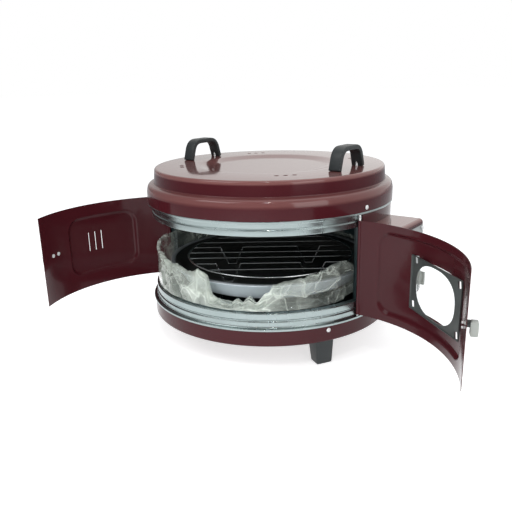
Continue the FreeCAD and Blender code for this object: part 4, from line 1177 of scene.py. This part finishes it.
def make_knob(name, body):
    """A round knob: skirt, fluted body and a grip bar across its face."""
    low, high = node_span(name)
    reach = high.x - low.x
    outer = (high.z - low.z) / 2
    knob = spun(name + "_cap", [
        (0.0, 0.0, 0),
        (outer, 0.0, 0.6 * MM),
        (outer, 3 * MM, 1.2 * MM),
        (outer * 0.84, 4.5 * MM, 1 * MM),
        (outer * 0.76, reach * 0.8, 2 * MM),
        (0.0, reach * 0.8, 0),
    ], steps=160)
    for vertex in knob.data.vertices:
        if vertex.co.z > 4 * MM:
            bearing = math.atan2(vertex.co.y, vertex.co.x)
            shrink = 1 - FLUTE_DEPTH * (0.5 + 0.5 * math.cos(KNOB_FLUTES * bearing))
            vertex.co.x *= shrink
            vertex.co.y *= shrink
    bar = box_at((outer * 1.5, 5 * MM, reach * 0.5), (0, 0, reach * 0.75))
    soften(bar, 1.4 * MM)
    apply_modifiers(bar)
    knob = join_pieces(name + "_cap", [knob, bar])
    knob.matrix_world = (
        Matrix.Translation((low.x, (low.y + high.y) / 2, (low.z + high.z) / 2))
        @ Matrix.Rotation(math.pi / 2, 4, "Y"))
    settle(knob, 40)
    finish_piece(knob, body, "grey_plastic", grey_plastic, name)


def make_dial_marks():
    """Short printed strokes round both knobs, standing for the settings."""
    panel = node_span("control_panel")[1].x
    strokes = []
    for name in ("thermostat_knob", "selector_knob"):
        low, high = node_span(name)
        middle = Vector((panel, (low.y + high.y) / 2, (low.z + high.z) / 2))
        for step in range(10):
            turn = math.radians(-135 + 30 * step)
            outward = Vector((0, math.sin(turn), math.cos(turn)))
            size = (MARK_RISE, MARK_WIDTH, (5 if step % 3 == 0 else 3) * MM)
            strokes.append(box_at(size, middle + outward * MARK_RING, (-turn, 0, 0)))
    marks = settle(join_pieces("dial_marks", strokes))
    finish_piece(marks, "oven", "black_moulding", black_moulding)


make_knob("thermostat_knob", "thermostat_dial")
make_knob("selector_knob", "selector_dial")
make_dial_marks()


# CAD nodes that keep their own shape

node_finishes = {
    black_moulding: ["latch_neck", "cable_gland"],
    box_enamel: ["control_box"],
    dark_enamel: ["inner_liner", "right_jamb", "left_jamb", "floor_pan", "upper_reflector"],
    zinc: [
        "foot_screws", "lid_handle_screws", "panel_screws", "right_hinge_rod",
        "left_hinge_rod", "latch_screws", "keeper_rivets", "thermostat_spindle", "selector_spindle",
        "lower_element_posts", "upper_element_clips", "thermostat_probe"],
    sheath: ["lower_heating_element", "upper_heating_element"],
    chrome: ["wire_rack", "tray_stand"],
    frame_metal: ["latch_keeper"],
    grey_plastic: ["latch_button"],
    panel_grey: ["control_panel"],
    ceramic: ["terminal_block"],
    module_plastic: ["thermostat_body", "selector_switch"],
    lamp_red: ["indicator_lamp"],
    window_glass: ["window_glass"],
}
for material, names in node_finishes.items():
    for name in names:
        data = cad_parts[name].data
        data.materials.clear()
        data.materials.append(material)


# Floor, light and camera

def seen_directly(nodes, links):
    """One where a ray comes from the camera, a mirror or glass, and zero for light that bounces on."""
    path = add_node(nodes, "LightPath")
    first = add_node(nodes, "Math", operation="MAXIMUM")
    both = add_node(nodes, "Math", operation="MAXIMUM")
    connect(
        links,
        (path, "Is Camera Ray", first, 0),
        (path, "Is Glossy Ray", first, 1),
        (first, 0, both, 0),
        (path, "Is Transmission Ray", both, 1))
    return both


def floor_material():
    """Pale studio paper that keeps the oven's soft shadow; a mirror sees it dim away from the oven."""
    material, nodes, links, shader = new_material("pale_paper")
    set_sockets(shader, {
        "Base Color": (0.86, 0.86, 0.86, 1), "Roughness": 0.9, "Specular IOR Level": 0.0,
        "Emission Color": (1, 1, 1, 1)})
    path = add_node(nodes, "LightPath")
    place = add_node(nodes, "TexCoord")
    distance = add_node(nodes, "VectorMath", operation="LENGTH")
    far = add_node(nodes, "MapRange", {"From Min": 0.6, "From Max": 2.0})
    dimmed = add_node(nodes, "Math", operation="MULTIPLY")
    left = add_node(nodes, "Math", operation="SUBTRACT")
    level = add_node(nodes, "Math", {1: 0.62}, operation="MULTIPLY")
    connect(
        links,
        (place, "Object", distance, 0),
        (distance, "Value", far, "Value"),
        (far, "Result", dimmed, 0),
        (path, "Is Glossy Ray", dimmed, 1),
        (seen_directly(nodes, links), 0, left, 0),
        (dimmed, 0, left, 1),
        (left, 0, level, 0),
        (level, 0, shader, "Emission Strength"))
    return material


def make_floor():
    deselect()
    bpy.ops.mesh.primitive_plane_add(size=60, location=(0, 0, 0))
    floor = bpy.context.object
    floor.name = "floor"
    floor.data.materials.append(floor_material())


def make_lamp(name, place, aim, size, power, colour=(1, 1, 1), mirrored=True):
    light = bpy.data.lights.new(name, "AREA")
    light.shape = "RECTANGLE"
    light.size, light.size_y = size
    light.energy = power
    light.color = colour
    lamp = bpy.data.objects.new(name, light)
    bpy.context.scene.collection.objects.link(lamp)
    lamp.visible_camera = False
    lamp.visible_glossy = mirrored
    lamp.location = place
    lamp.rotation_euler = (Vector(aim) - Vector(place)).to_track_quat("-Z", "Y").to_euler()


def make_world():
    """A white studio: brightest overhead and behind the oven, dimmer on the camera's side."""
    world = bpy.data.worlds.new("studio")
    bpy.context.scene.world = world
    world.use_nodes = True
    nodes = world.node_tree.nodes
    room = nodes["Background"]
    set_sockets(room, {"Color": (0.94, 0.97, 1, 1), "Strength": 0.5})
    white = add_node(nodes, "Background", {"Color": (1, 1, 1, 1), "Strength": 1.0})
    place = add_node(nodes, "TexCoord")
    facing = add_node(nodes, "VectorMath", {1: (0.1, 0.82, 0.56)}, operation="DOT_PRODUCT")
    shade = add_node(nodes, "MapRange", {"From Min": 0.2, "From Max": 0.8, "To Min": 0.16, "To Max": 1.0})
    tint = add_node(nodes, "Mix", data_type="RGBA")
    set_sockets(tint, {"A": (0.1, 0.1, 0.105, 1), "B": (1, 0.99, 0.97, 1)})
    mirror = add_node(nodes, "Background")
    path = add_node(nodes, "LightPath")
    clear = add_node(nodes, "Math", operation="MAXIMUM")
    with_mirror = add_node(nodes, "MixShader")
    mix = add_node(nodes, "MixShader")
    connect(
        world.node_tree.links,
        (place, "Generated", facing, 0),
        (facing, "Value", shade, "Value"),
        (shade, "Result", tint, "Factor"),
        (tint, "Result", mirror, "Color"),
        (path, "Is Glossy Ray", with_mirror, "Fac"),
        (room, "Background", with_mirror, 1),
        (mirror, "Background", with_mirror, 2),
        (path, "Is Camera Ray", clear, 0),
        (path, "Is Transmission Ray", clear, 1),
        (clear, 0, mix, "Fac"),
        (with_mirror, "Shader", mix, 1),
        (white, "Background", mix, 2),
        (mix, "Shader", nodes["World Output"], "Surface"))


# The camera in metres and millimetres, as fitted to the circles of the oven
CAMERA_PLACE = (0.6388, -0.8956, 0.4627)
CAMERA_RIGHT = (0.8028, 0.5958, -0.0231)
CAMERA_FORWARD = (-0.5766, 0.7658, -0.2849)
CAMERA_LENS = 40.78
CAMERA_SENSOR = 36


def make_camera():
    """The photograph's view: 35.5 degrees round to the right, 16.5 degrees down."""
    data = bpy.data.cameras.new("photo_view")
    data.lens = CAMERA_LENS
    data.sensor_width = CAMERA_SENSOR
    camera = bpy.data.objects.new("photo_view", data)
    bpy.context.scene.collection.objects.link(camera)
    right = Vector(CAMERA_RIGHT).normalized()
    forward = Vector(CAMERA_FORWARD).normalized()
    up = right.cross(forward)
    turn = Matrix((right, up, -forward)).transposed()
    camera.matrix_world = Matrix.Translation(CAMERA_PLACE) @ turn.to_4x4()
    bpy.context.scene.camera = camera


make_floor()
make_world()
make_camera()
make_lamp("key", (-0.6, -1.7, 1.9), (0, 0, 0.15), (1.4, 1.0), 13)
make_lamp("fill", (1.7, -0.6, 0.9), (0, 0, 0.15), (1.0, 1.0), 8)
make_lamp("front", (0.45, -1.5, 0.34), (0.03, -0.1, 0.12), (0.9, 0.4), 6, mirrored=False)
make_lamp("top", (0.0, 0.3, 2.2), (0, 0, 0.2), (1.8, 1.8), 8)
make_lamp("warm_ceiling", (0.95, -1.35, 2.3), (0, 0, 0.3), (0.12, 0.12), 2.5, (1, 0.86, 0.7))
make_lamp("cool_ceiling", (0.62, -0.95, 1.5), (0, 0, 0.3), (0.1, 0.1), 1.5, (0.85, 0.92, 1))
